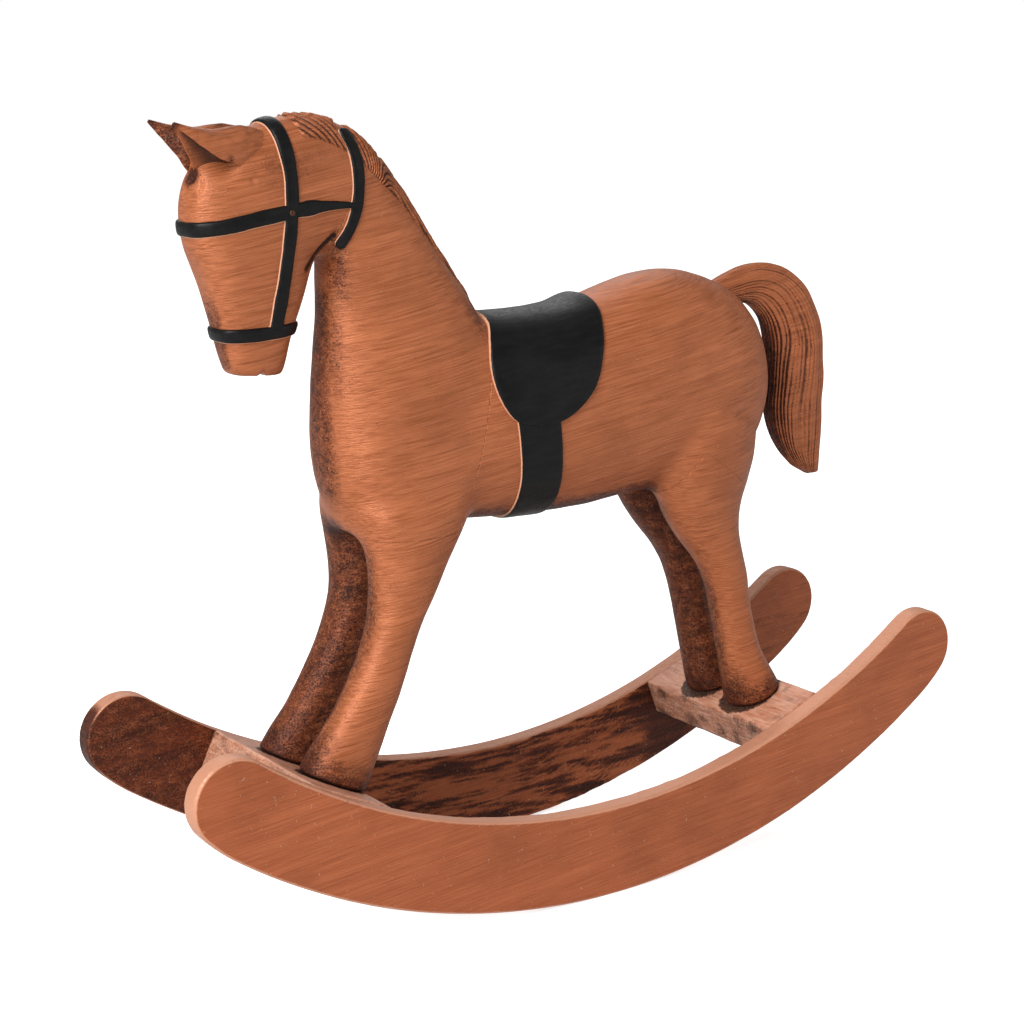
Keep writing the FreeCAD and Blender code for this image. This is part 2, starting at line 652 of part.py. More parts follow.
def main():
    os.makedirs("parts", exist_ok=True)
    nodes = wooden_blocks()
    nodes.update(wooden_legs())
    nodes["tail"] = wooden_tail(nodes["barrel"])
    for name, side in SIDES:
        nodes["ear_" + name] = wooden_ear(side, nodes["head"])
        nodes["rocker_" + name] = rocker(side)
    nodes["saddle"], nodes["girth"] = saddle_and_girth(nodes["chest_and_neck"])
    nodes["mane"] = mane_strip()
    straps = bridle(nodes["mane"])
    nodes.update(straps)
    nodes["strap_rivets"] = strap_rivets(list(straps.values()) + [nodes["head"]])
    nodes["front_cross_board"] = cross_board(FRONT_BOARD_X)
    nodes["rear_cross_board"] = cross_board(REAR_BOARD_X)

    pins = neck_dowels()
    drill(nodes, ("barrel", "chest_and_neck"), pins)
    nodes["neck_dowels"] = Part.makeCompound(pins)
    pins = head_dowel()
    drill(nodes, ("head", "chest_and_neck"), pins)
    nodes["head_dowel"] = pins[0]
    pins = foreleg_dowels()
    drill(nodes, ("foreleg_left", "foreleg_right", "chest_and_neck"), pins)
    nodes["foreleg_dowels"] = Part.makeCompound(pins)
    pins = hindleg_dowels()
    drill(nodes, ("hindleg_left", "hindleg_right", "barrel"), pins)
    nodes["hindleg_dowels"] = Part.makeCompound(pins)
    pins = tail_peg()
    drill(nodes, ("tail", "barrel"), pins)
    nodes["tail_peg"] = pins[0]

    screws = []
    board_pins = []
    for board, x_range, leg, foot in (("front_cross_board", FRONT_BOARD_X, "foreleg_", FRONT_FOOT),
                                      ("rear_cross_board", REAR_BOARD_X, "hindleg_", REAR_FOOT)):
        for name, side in SIDES:
            screw = hoof_screw(x_range, foot[0], side * foot[1])
            drill(nodes, (board, leg + name), [screw])
            screws.append(screw)
            pins = board_dowels(x_range, side)
            drill(nodes, (board, "rocker_" + name), pins)
            board_pins += pins
    nodes["hoof_screws"] = Part.makeCompound(screws)
    nodes["board_dowels"] = Part.makeCompound(board_pins)

    for name, shape in sorted(nodes.items()):
        print("%-18s solids %d valid %s volume %9.1f mm3" % (
            name, len(shape.Solids), shape.isValid(), shape.Volume))
        shape.exportStep("parts/" + name + ".step")


main()
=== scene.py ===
import bpy
import bmesh
import json
import math
import numpy as np
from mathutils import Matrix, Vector
from mathutils.bvhtree import BVHTree


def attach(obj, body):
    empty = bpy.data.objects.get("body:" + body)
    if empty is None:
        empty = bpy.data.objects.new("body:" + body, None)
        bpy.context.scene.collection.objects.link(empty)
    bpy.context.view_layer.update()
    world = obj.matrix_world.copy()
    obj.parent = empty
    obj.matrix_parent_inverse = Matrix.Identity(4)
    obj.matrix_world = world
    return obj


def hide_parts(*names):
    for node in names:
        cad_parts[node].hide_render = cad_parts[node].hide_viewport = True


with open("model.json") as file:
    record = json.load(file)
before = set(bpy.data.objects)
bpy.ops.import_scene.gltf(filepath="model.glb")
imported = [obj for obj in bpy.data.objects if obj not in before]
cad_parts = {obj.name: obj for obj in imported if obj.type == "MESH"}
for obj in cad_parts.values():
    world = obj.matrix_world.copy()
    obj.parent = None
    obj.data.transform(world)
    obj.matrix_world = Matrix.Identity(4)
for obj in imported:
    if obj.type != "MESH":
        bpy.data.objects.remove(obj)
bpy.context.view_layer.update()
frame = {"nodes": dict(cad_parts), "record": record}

# Rocking horse figurine.  Shapes are worked out in millimetres and stored in metres.
MM = 0.001
SCENE = bpy.context.scene
NODES = frame["nodes"]


# ------------------------------------------------------------------ noise
_rng = np.random.default_rng(11)
PERM = np.tile(_rng.permutation(256), 3)
GRAD = _rng.normal(size=(256, 3))
GRAD /= np.linalg.norm(GRAD, axis=1)[:, None]


NOISE_GAIN = 1.6


def noise3(points, size=1.0, shift=0.0):
    """Gradient noise, roughly -1 to 1, at points (..., 3); its lumps are about size across."""
    flat = (points / np.array(size) + shift).reshape(-1, 3)
    cell = np.floor(flat).astype(int)
    part = flat - cell
    cell &= 255
    ease = part ** 3 * (part * (part * 6 - 15) + 10)
    total = np.zeros(len(flat))
    for corner in np.ndindex(2, 2, 2):
        c = np.array(corner)
        at = (cell + c) & 255
        pick = PERM[PERM[PERM[at[:, 0]] + at[:, 1]] + at[:, 2]]
        value = (GRAD[pick] * (part - c)).sum(1)
        total += value * np.where(c, ease, 1 - ease).prod(1)
    return (total * NOISE_GAIN).reshape(points.shape[:-1])


def smoothstep(low, high, value):
    t = np.clip((value - low) / (high - low), 0.0, 1.0)
    return t * t * (3 - 2 * t)


# ---------------------------------------------------------------- meshes
def read(collection, key, width, kind=np.float32):
    out = np.empty(len(collection) * width, kind)
    collection.foreach_get(key, out)
    return out.reshape(-1, width)


def coords(mesh):
    return read(mesh.vertices, "co", 3).astype(float) / MM


def normals(mesh):
    return read(mesh.vertex_normals, "vector", 3).astype(float)


def set_coords(mesh, co):
    mesh.vertices.foreach_set("co", (co * MM).astype(np.float32).ravel())
    mesh.update()


def edges_of(mesh):
    return read(mesh.edges, "vertices", 2, np.int32)


def set_attribute(mesh, name, values):
    layer = mesh.attributes.get(name) or mesh.attributes.new(name, "FLOAT", "POINT")
    layer.data.foreach_set("value", np.asarray(values, np.float32))


def add_object(name, mesh):
    ob = bpy.data.objects.new(name, mesh)
    SCENE.collection.objects.link(ob)
    return ob


def mesh_from(name, co, faces):
    mesh = bpy.data.meshes.new(name)
    mesh.from_pydata((np.asarray(co) * MM).tolist(), [], faces)
    mesh.validate()
    mesh.update()
    return mesh


def face_outwards(mesh):
    bm = bmesh.new()
    bm.from_mesh(mesh)
    bmesh.ops.remove_doubles(bm, verts=bm.verts, dist=1e-7)
    bmesh.ops.dissolve_degenerate(bm, edges=bm.edges, dist=1e-8)
    bmesh.ops.recalc_face_normals(bm, faces=bm.faces)
    bm.to_mesh(mesh)
    bm.free()
    mesh.update()


def shade_smooth(mesh):
    mesh.polygons.foreach_set("use_smooth", [True] * len(mesh.polygons))
    mesh.update()


RELAX_STEP = 0.6


def relax(co, edges, weight, rounds):
    """Laplacian smoothing where weight is above nought."""
    n = len(co)
    a, b = edges[:, 0], edges[:, 1]
    degree = np.bincount(a, minlength=n) + np.bincount(b, minlength=n)
    degree = np.maximum(degree, 1)[:, None]
    w = weight[:, None]
    for _ in range(rounds):
        mean = np.empty_like(co)
        for k in range(3):
            mean[:, k] = (np.bincount(a, co[b, k], n) + np.bincount(b, co[a, k], n))
        co = co + w * RELAX_STEP * (mean / degree - co)
    return co


def smooth_grid(q, rounds):
    """Even out the inside of a grid of points (nu, nv, 3), leaving its border where it is."""
    for _ in range(rounds):
        q[1:-1, 1:-1] = (q[1:-1, 1:-1] * 4 + q[:-2, 1:-1] + q[2:, 1:-1] + q[1:-1, :-2] + q[1:-1, 2:]) / 8


def ring_quads(rings, around):
    """Quads between rings of points that are numbered one ring after another."""
    return [(i * around + k, i * around + (k + 1) % around,
             (i + 1) * around + (k + 1) % around, (i + 1) * around + k)
            for i in range(rings - 1) for k in range(around)]


# ------------------------------------------------- drawn-out closed pieces
def closed_tube(name, q, attributes):
    """Rings of points joined into a closed piece with a fan at either end."""
    nu, nv = q.shape[:2]
    co = np.concatenate([q.reshape(-1, 3), [q[0].mean(0)], [q[-1].mean(0)]])
    faces = ring_quads(nu, nv)
    for k in range(nv):
        m = (k + 1) % nv
        faces.append((nu * nv, m, k))
        faces.append((nu * nv + 1, (nu - 1) * nv + k, (nu - 1) * nv + m))
    mesh = mesh_from(name, co, faces)
    for key, values in attributes.items():
        flat = values.ravel()
        set_attribute(mesh, key, np.concatenate([flat, [flat[0], flat[-1]]]))
    face_outwards(mesh)
    shade_smooth(mesh)
    return add_object(name, mesh)


# Each ear at five places from tip to root, inside the skull: back, outer bulge, outer rim, two
# points of the hollow, inner rim, inner bulge.  x, distance from the middle plane, z.
EAR = (
    ((-133.4, 8.0, 251.2), (-133.5, 8.4, 250.9), (-133.8, 8.3, 250.5), (-133.7, 8.0, 250.6),
     (-133.8, 7.8, 250.5), (-134.1, 7.6, 250.4), (-133.8, 7.7, 250.9)),
    ((-126.8, 7.0, 249.5), (-126.9, 9.2, 248.0), (-128.1, 9.5, 245.9), (-127.7, 8.2, 246.9),
     (-128.2, 7.0, 247.1), (-130.8, 5.9, 245.9), (-128.6, 5.0, 248.2)),
    ((-120.0, 6.2, 248.8), (-119.4, 10.2, 245.9), (-122.2, 11.0, 241.5), (-121.4, 8.2, 243.4),
     (-122.4, 5.6, 243.6), (-127.0, 3.6, 240.5), (-123.8, 2.4, 245.3)),
    ((-111.5, 5.4, 249.4), (-110.8, 9.4, 244.8), (-114.0, 9.2, 238.2), (-115.4, 7.2, 239.2),
     (-118.0, 4.4, 238.6), (-123.9, 2.0, 235.6), (-118.5, 1.4, 242.6)),
    ((-103.8, 4.6, 247.4), (-102.6, 7.4, 242.4), (-104.5, 5.8, 236.5), (-107.0, 4.8, 235.5),
     (-110.0, 3.6, 233.0), (-114.5, 1.6, 231.5), (-109.0, 1.0, 239.5)))


def through(points, per):
    """Catmull-Rom curve through rows of values, per rows to a stretch."""
    p = np.array(points, float)
    p = np.concatenate([2 * p[:1] - p[1:2], p, 2 * p[-1:] - p[-2:-1]])
    out = []
    for i in range(1, len(p) - 2):
        for t in np.linspace(0, 1, per, endpoint=False):
            out.append(0.5 * (2 * p[i] + (p[i + 1] - p[i - 1]) * t
                              + (2 * p[i - 1] - 5 * p[i] + 4 * p[i + 1] - p[i + 2]) * t ** 2
                              + (3 * p[i] - p[i - 1] - 3 * p[i + 1] + p[i + 2]) * t ** 3))
    out.append(p[-2])
    return np.array(out)


EAR_RINGS_PER_ROW, EAR_SKIN_STEPS, EAR_DISH_STEPS = 34, 14, 11
STREAKS_PER_POINT, STREAK_DEPTH = 1.9, 0.10   # carved lines along the ear
LUMP_SIZE, LUMP_HEIGHT = 3.4, 0.16


def ear_grid(side, shrink=1.0):
    """Rings of points along one ear, and how deep in its hollow each one is."""
    rows = through(EAR, EAR_RINGS_PER_ROW)
    share = np.linspace(0, 1, len(rows))
    grid, hollow = [], []
    for row, at in zip(rows, share):
        back, bulge, rim_out, dip_out, dip_in, rim_in, inner = row
        skin = through((rim_out, bulge, back, inner, rim_in), EAR_SKIN_STEPS)
        dish = through((rim_in, dip_in, dip_out, rim_out), EAR_DISH_STEPS)[1:-1]
        ring = np.concatenate([skin, dish])
        middle = ring.mean(0)
        grid.append(middle + (ring - middle) * shrink)
        across = np.sin(np.linspace(0.3, np.pi - 0.3, len(dish)))
        hollow.append(np.concatenate([np.zeros(len(skin)), across]) * smoothstep(0.04, 0.2, at))
    grid, hollow = np.array(grid), np.array(hollow)
    streak = np.cos(np.arange(grid.shape[1]) * STREAKS_PER_POINT)[None, :, None]
    fade = smoothstep(0.05, 0.3, share)[:, None, None]
    grid = grid + STREAK_DEPTH * fade * streak * (grid.mean(1)[:, None] - grid) / 6.0
    grid = grid + LUMP_HEIGHT * fade * noise3(grid, LUMP_SIZE)[:, :, None]
    grid[:, :, 1] *= side
    return grid, hollow


# ------------------------------------------------------- the carved horse
BODY_NODES = ("barrel", "chest_and_neck", "head", "foreleg_left", "foreleg_right",
              "hindleg_left", "hindleg_right")
FILLING = ("neck_dowels", "head_dowel", "foreleg_dowels", "hindleg_dowels", "tail_peg")
VOXEL = 0.58

NECK_POINT, NECK_SLOPE = (-37.0, 160.0), math.radians(78.0)
HEAD_POINT, HEAD_SLOPE = (-77.8, 228.0), math.radians(69.5)
LEG_TOP_Z = 124.0


def neck_x(z):
    return NECK_POINT[0] + (z - NECK_POINT[1]) / math.tan(NECK_SLOPE)


def head_x(z):
    return HEAD_POINT[0] + (z - HEAD_POINT[1]) / math.tan(HEAD_SLOPE)


def blob(co, centre, radii):
    """1 at the centre of an ellipsoid, 0 on its surface and outside."""
    r = np.sqrt((((co - np.array(centre)) / np.array(radii)) ** 2).sum(1))
    return 1.0 - smoothstep(0.0, 1.0, r)


def near_line(co, start, end, width):
    """1 on a straight line, falling to 0 a few widths from it."""
    a, b = np.array(start), np.array(end)
    t = np.clip((co - a) @ (b - a) / ((b - a) @ (b - a)), 0, 1)
    off = np.linalg.norm(co - a - t[:, None] * (b - a), axis=1)
    return np.exp(-(off / width) ** 2)


FLAT = np.array([1.0, 0.0, 1.0])   # leaves y out of a distance
JAW = ((-92.0, 0.0, 207.4), (-82.6, 0.0, 216.8))
EAR_CREASE = ((-125.4, 5.0, 238.0), (-117.4, 9.6, 240.0))
EAR_BOWL = ((-126.0, 6.6, 242.0), (-118.0, 7.6, 238.6))
LIPS = ((-119.0, 6.0, 181.0), (-100.0, 8.0, 180.2))


def fused_horse():
    bm = bmesh.new()
    for name in BODY_NODES + FILLING:
        bm.from_mesh(NODES[name].data)
    # roots of the ears, a little inside them, so that the skull swells to meet them
    for side in (-1, 1):
        grid = ear_grid(side, 0.9)[0]
        root = closed_tube("root", grid[int(0.55 * len(grid)):], {})
        bm.from_mesh(root.data)
        bpy.data.objects.remove(root)
    mesh = bpy.data.meshes.new("fused")
    bm.to_mesh(mesh)
    bm.free()
    ob = add_object("fused", mesh)
    remesh = ob.modifiers.new("remesh", "REMESH")
    remesh.mode = "VOXEL"
    remesh.voxel_size = VOXEL * MM
    fused = bpy.data.meshes.new_from_object(
        ob.evaluated_get(bpy.context.evaluated_depsgraph_get()))
    bpy.data.objects.remove(ob)
    # keep the outer skin only
    edges = edges_of(fused)
    label = np.arange(len(fused.vertices))
    while True:
        low = np.minimum(label[edges[:, 0]], label[edges[:, 1]])
        new = label.copy()
        np.minimum.at(new, edges[:, 0], low)
        np.minimum.at(new, edges[:, 1], low)
        new = new[new]
        if (new == label).all():
            break
        label = new
    biggest = np.bincount(label).argmax()
    if (label != biggest).any():
        bm = bmesh.new()
        bm.from_mesh(fused)
        bm.verts.ensure_lookup_table()
        bmesh.ops.delete(bm, geom=[bm.verts[i] for i in np.nonzero(label != biggest)[0]])
        bm.to_mesh(fused)
        bm.free()
        fused.update()
    return fused


# dents in the carved skin: centre, radii, depth
DENTS = (
    ((-110.4, -11.0, 234.0), (1.3, 3.0, 1.4), 0.6),    # nicks beside the near ear
    ((-108.6, -10.6, 236.2), (2.4, 3.0, 0.9), 0.4),
    ((-124.6, -1.5, 234.2), (2.4, 2.8, 2.8), 1.9),     # hole between the ears
    ((-124.4, 1.5, 235.0), (1.8, 2.0, 2.0), 1.0),
    ((-106.4, 0.0, 176.6), (2.0, 14.0, 3.4), 1.5),     # mouth, from below
    ((-110.0, -9.0, 187.0), (9.0, 5.0, 0.9), 0.3),     # chips on the muzzle
    ((-103.0, -9.0, 186.4), (4.0, 5.0, 0.8), 0.25))
CUT_RING_CENTRE, CUT_RING_RADIUS = (-126.6, -4.0, 233.6), 3.2
BOWL_DEPTH, BOWL_PUSH = 4.0, (0.44, -0.73, 0.53)   # push: backwards, inwards, up


def soft_places(co):
    """How far each point takes part in softening the corners between the blocks, 0 to 1."""
    x, y, z = co.T
    neck_side = smoothstep(0, 1, 1.2 - abs(x - neck_x(z)) / 14)
    places = (
        # tops of the forelegs and of the hind legs
        blob(co, (-58, 0, 123), (36, 40, 20)), blob(co, (-80, 0, 125), (18, 44, 16)),
        blob(co, (50, 0, 131), (40, 44, 26)), blob(co, (34, 0, 123), (24, 40, 16)),
        # foot of the neck, withers, throat, poll, shoulders
        blob(co, (neck_x(160), 0, 160), (22, 60, 60)) * neck_side,
        blob(co, (-30, 0, 191), (22, 40, 16)),
        blob(co, (-84, 0, 206), (8, 20, 12)) * 0.4,
        blob(co, (-108, 0, 247), (15, 16, 9)) * 0.35,
        blob(np.stack([x, np.abs(y), z], 1), (-68, 20, 130), (22, 16, 17)))
    return np.clip(1.6 * np.maximum.reduce(places), 0, 1) * smoothstep(58, 66, z)


def carve_horse(mesh):
    co = coords(mesh)
    edges = edges_of(mesh)
    co = relax(co, edges, np.ones(len(co)), 14)
    x, y, z = co.T
    co = relax(co, edges, soft_places(co), int(240 * (0.5 / VOXEL) ** 2))
    set_coords(mesh, co)
    # the bowl of each ear runs on down into the skull
    mirrored = np.stack([x, np.abs(y), z], 1)
    bowl = BOWL_DEPTH * near_line(mirrored, *EAR_BOWL, 3.1)[:, None]
    back, inward, up = BOWL_PUSH
    co = co + bowl * np.stack([np.full(len(co), back), inward * np.sign(y), np.full(len(co), up)], 1)
    set_coords(mesh, co)
    n = normals(mesh)
    x, y, z = co.T
    wave = 0.34 * noise3(co, (26.0, 15.0, 19.0)) + 0.12 * noise3(co, 7.0, 5.0)
    wave *= smoothstep(46, 60, z)
    # rough tool marks on the poll, just in front of the crown strap
    poll = blob(co, (-110, 0, 249), (11, 16, 9))
    wave -= 0.55 * poll * np.abs(noise3(co, (2.6, 3.4, 2.0), 3.0))
    for centre, radii, depth in DENTS:
        wave -= depth * blob(co, centre, radii)
    mirrored = np.stack([x, np.abs(y), z], 1)
    wave -= 0.7 * near_line(mirrored, *EAR_CREASE, 0.8)
    wave -= 1.1 * near_line(mirrored * FLAT, *JAW, 0.8) * smoothstep(2.0, 4.0, mirrored[:, 1])
    wave -= 0.25 * near_line(mirrored, *LIPS, 0.7)
    ring = np.linalg.norm(co - np.array(CUT_RING_CENTRE), axis=1)
    wave -= 0.35 * np.exp(-((ring - CUT_RING_RADIUS) / 0.45) ** 2) * smoothstep(237.0, 234.5, z)
    set_coords(mesh, co + n * wave[:, None])
    return mesh


def prism(name, outline, y_low, y_high):
    """Closed block: an outline in XZ between two values of y."""
    count = len(outline)
    co = [(x, y, z) for y in (y_low, y_high) for x, z in outline]
    faces = [tuple(range(count)), tuple(range(2 * count - 1, count - 1, -1))]
    for i in range(count):
        j = (i + 1) % count
        faces.append((i, i + count, j + count, j))
    mesh = mesh_from(name, co, faces)
    face_outwards(mesh)
    return add_object(name, mesh)


def taken_from(source, name, outline, y_low=-70.0, y_high=70.0):
    """The piece of the carved horse that lies in one block."""
    ob = add_object(name, source.copy())
    tool = prism("tool", outline, y_low, y_high)
    cut = ob.modifiers.new("cut", "BOOLEAN")
    cut.operation = "INTERSECT"
    cut.solver = "MANIFOLD"
    cut.object = tool
    mesh = bpy.data.meshes.new_from_object(
        ob.evaluated_get(bpy.context.evaluated_depsgraph_get()))
    bpy.data.objects.remove(ob)
    bpy.data.objects.remove(tool)
    mesh.name = name
    shade_smooth(mesh)
    return add_object(name, mesh)


HEAD_OUTLINE = ((head_x(140), 140), (head_x(300), 300), (-220, 300), (-220, 140))
CHEST_OUTLINE = ((-130, LEG_TOP_Z), (neck_x(LEG_TOP_Z), LEG_TOP_Z), (neck_x(300), 300),
                 (head_x(300), 300), (head_x(140), 140), (-130, 140))
BARREL_OUTLINE = ((neck_x(LEG_TOP_Z), LEG_TOP_Z), (-30, LEG_TOP_Z), (-30, 100), (29, 100),
                  (29, 112), (47, 139), (107, 98.53), (200, 98.53), (200, 300), (neck_x(300), 300))
FORELEG_OUTLINE = ((-130, -10), (-30, -10), (-30, LEG_TOP_Z), (-130, LEG_TOP_Z))
HINDLEG_OUTLINE = ((29, -10), (29, 112), (47, 139), (107, 98.53), (107, -10))

horse = carve_horse(fused_horse())
PIECES = {
    "horse_head": taken_from(horse, "horse_head", HEAD_OUTLINE),
    "horse_chest_neck": taken_from(horse, "horse_chest_neck", CHEST_OUTLINE),
    "horse_barrel": taken_from(horse, "horse_barrel", BARREL_OUTLINE),
}
for side, low, high in (("left", -70.0, 0.0), ("right", 0.0, 70.0)):
    for leg, outline in (("foreleg_", FORELEG_OUTLINE), ("hindleg_", HINDLEG_OUTLINE)):
        name = "horse_" + leg + side
        PIECES[name] = taken_from(horse, name, outline, low, high)
REPLACED = {name: (name.replace("horse_", ""),) for name in PIECES}
REPLACED["horse_chest_neck"] = ("chest_and_neck",)
SLOTS = {name: "copper_painted_wood" for name in PIECES}
SKIN = BVHTree.FromPolygons([Vector(c) for c in coords(horse)],
                            [tuple(p.vertices) for p in horse.polygons])


# ------------------------------------------------- relief on the horse's skin
def hit(origin, direction, reach=80.0):
    """Where a ray from inside the horse leaves it."""
    found = SKIN.ray_cast(Vector(origin), Vector(direction).normalized(), reach)[0]
    return found if found is not None else Vector(origin)


def grid_normals(q, closed_u=False):
    du = np.roll(q, -1, 0) - np.roll(q, 1, 0) if closed_u else np.gradient(q, axis=0)
    dv = np.gradient(q, axis=1)
    n = np.cross(du, dv)
    n /= np.maximum(np.linalg.norm(n, axis=2, keepdims=True), 1e-9)
    return n


def relief(name, q, height, rim, depth=0.8, closed_u=False, outwards=None):
    """A closed raised piece over a grid of skin points q (nu, nv, 3)."""
    n = grid_normals(q, closed_u)
    if outwards is not None and (n * outwards(q)).sum() < 0:
        n = -n
    top = q + n * height[:, :, None]
    low = q - n * depth
    nu, nv = height.shape
    co = np.concatenate([top.reshape(-1, 3), low.reshape(-1, 3)])
    half = nu * nv
    faces = []
    last_u = nu if closed_u else nu - 1
    for i in range(last_u):
        j = (i + 1) % nu
        for k in range(nv - 1):
            a, b, c, d = i * nv + k, j * nv + k, j * nv + k + 1, i * nv + k + 1
            faces.append((a, b, c, d))
            faces.append((half + d, half + c, half + b, half + a))
        for k in (0, nv - 1):
            a, b = i * nv + k, j * nv + k
            faces.append((a, half + a, half + b, b) if k == 0 else (b, half + b, half + a, a))
    if not closed_u:
        for i in (0, nu - 1):
            for k in range(nv - 1):
                a, b = i * nv + k, i * nv + k + 1
                faces.append((b, half + b, half + a, a) if i == 0 else (a, half + a, half + b, b))
    mesh = mesh_from(name, co, faces)
    set_attribute(mesh, "rim", np.concatenate([rim.ravel(), rim.ravel()]))
    face_outwards(mesh)
    shade_smooth(mesh)
    return add_object(name, mesh)


def spline(points, count):
    """Smooth curve through points, evenly spaced along its length."""
    return even(through(points, 24), count)


def lengths(points):
    """Distance along a line of points, from its start to each point."""
    return np.concatenate([[0], np.cumsum(np.linalg.norm(np.diff(points, axis=0), axis=1))])


def even(points, count):
    run = lengths(points)
    at = np.linspace(0, run[-1], count)
    return np.stack([np.interp(at, run, points[:, k]) for k in range(points.shape[1])], 1)


def smooth_path(path, rounds, closed=False):
    for _ in range(rounds):
        if closed:
            path = (np.roll(path, 1, 0) + 2 * path + np.roll(path, -1, 0)) / 4
        else:
            path[1:-1] = (path[:-2] + 2 * path[1:-1] + path[2:]) / 4
    return path


# across a strap from its plain edge to its edge with a bare copper ledge: place, height, bareness
STRAP_SECTION = ((-1.0, -0.35, 0), (-0.97, 0.3, 0), (-0.9, 0.62, 0), (-0.78, 0.8, 0), (-0.6, 0.92, 0),
                 (-0.4, 0.98, 0), (-0.2, 1.0, 0), (0.0, 1.0, 0), (0.2, 1.0, 0), (0.4, 0.98, 0),
                 (0.6, 0.92, 0), (0.76, 0.8, 0), (0.86, 0.62, 0), (0.93, 0.3, 0.5), (0.97, 0.22, 1),
                 (1.05, 0.18, 1), (1.09, -0.35, 1))


def strap(name, path, inside, width, rise, rim_side, closed=False, round_ends=(False, False)):
    """A rounded strap along a path on the skin, with a point of the body's core for each path point."""
    count = len(path)
    path = smooth_path(path, 6, closed)
    if closed:
        along = np.roll(path, -1, 0) - np.roll(path, 1, 0)
    else:
        along = np.gradient(path, axis=0)
    along /= np.linalg.norm(along, axis=1)[:, None]
    out = path - inside
    out -= (out * along).sum(1)[:, None] * along
    out /= np.linalg.norm(out, axis=1)[:, None]
    across = np.cross(out, along)
    run = lengths(path)
    shape = np.ones(count)
    radius = width.mean() / 2
    for end, rounded in enumerate(round_ends):
        gap = run if end == 0 else run[-1] - run
        if rounded:
            # not quite nought at the very end, so that no ring of points falls on one spot
            shape *= np.sqrt(np.clip(1 - (1 - np.clip(gap / radius, 0, 1)) ** 2, 0.0004, 1))
    wobble = 1 + 0.07 * noise3(path, 6.0, 2.0)
    columns, profile, bare = np.array(STRAP_SECTION).T
    columns = columns * rim_side
    q = np.empty((count, len(columns), 3))
    for i in range(count):
        for k, v in enumerate(columns):
            spot = path[i] + across[i] * (v * width[i] / 2 * shape[i] * wobble[i])
            found = SKIN.ray_cast(Vector(spot + out[i] * 4), Vector(-out[i]), 14)[0]
            q[i, k] = found if found is not None else spot
    height = profile[None, :] * rise * np.clip(shape[:, None] * 1.3, 0.1, 1)
    height = height * (1 + 0.08 * noise3(path, 4.0, 9.0))[:, None]
    rim = np.broadcast_to(bare, height.shape)
    return relief(name, q, height, rim, closed_u=closed, outwards=lambda g: g - inside[:, None, :])


def side_hits(line, side):
    """The path on one flank under a line drawn in XZ."""
    return np.array([hit((x, 0, z), (0, side, 0)) for x, z in line])


# lines of the straps as they lie on the head, x and z
CHEEK = ((-103.4, 262.0), (-100.0, 247.0), (-98.4, 233.0), (-99.0, 219.0), (-101.2, 203.0),
         (-103.2, 190.4))
BROW = ((-134.0, 219.6), (-120.0, 221.2), (-108.0, 223.4), (-99.0, 224.6))
SIDE = ((-98.8, 224.6), (-92.0, 225.4), (-84.0, 225.7), (-76.6, 225.4))
NOSE = ((-128.0, 189.0), (-108.0, 189.4), (-86.0, 190.4))
THROAT = ((-78.2, 247.4), (-75.9, 240.0), (-75.7, 230.0), (-77.4, 221.0), (-81.0, 212.8))
STRAP_WIDE, STRAP_RISE = 4.5, 1.0


def wrapped(angles, start, ray, settle):
    """Skin points that rays at these angles reach; settle moves each ray on to the strap's line."""
    out = []
    for angle in np.radians(angles):
        place = start
        for _ in range(3):
            spot = hit(*ray(place, math.sin(angle), math.cos(angle)))
            place = settle(spot)
        out.append(spot)
    return np.array(out)


def crown_strap():
    line = spline(CHEEK, 200)
    order = np.argsort(line[:, 1])
    zs, xs = line[order, 1], line[order, 0]
    top = 238
    low = np.array([(np.interp(z, zs, xs), z) for z in np.arange(190.6, top, 0.8)])
    over = wrapped(np.arange(-88, 89, 3), -99.0, lambda x, s, c: ((x, 0, top), (0, s, c)),
                   lambda p: np.interp(p[2], zs, xs))
    path = even(np.vstack([side_hits(low, -1), over, side_hits(low, 1)[::-1]]), 300)
    inside = np.stack([path[:, 0], np.zeros(300), np.clip(path[:, 2], 0, top)], 1)
    return strap("crown_strap_band", path, inside, np.full(300, STRAP_WIDE), STRAP_RISE, 1)


def browband():
    path = wrapped(np.arange(-90, 91, 3), 222.0, lambda z, s, c: ((-98.6, 0, z), (-c, s, 0)),
                   lambda p: np.interp(p[0], *np.array(BROW).T))
    path = even(path, 220)
    inside = np.stack([np.clip(path[:, 0], -118, -90), np.zeros(220), path[:, 2]], 1)
    return strap("browband_band", path, inside, np.full(220, STRAP_WIDE), STRAP_RISE, 1)


def noseband():
    middle = -107.5
    out = wrapped(np.arange(0, 360, 3), 189.6, lambda z, s, c: ((middle, 0, z), (-c, s, 0)),
                  lambda p: np.interp(p[0], *np.array(NOSE).T))
    path = even(np.vstack([out, out[:1]]), 241)[:-1]
    inside = np.stack([np.full(240, middle), np.zeros(240), path[:, 2]], 1)
    return strap("noseband_band", path, inside, np.full(240, STRAP_WIDE - 0.4), STRAP_RISE, 1,
                 closed=True)


def flank_strap(name, line, side, start, end, rim_side, round_ends, swell=0.0):
    """A strap along one side of the head, start to end wide, swelling where it leaves the stud."""
    path = side_hits(spline(line, 130), side)
    inside = path * FLAT
    share = np.linspace(0, 1, 130)
    width = start + (end - start) * share ** 1.4
    width += swell * np.exp(-((share - 0.3) / 0.16) ** 2)
    return strap(name, path, inside, width, STRAP_RISE, rim_side, round_ends=round_ends)


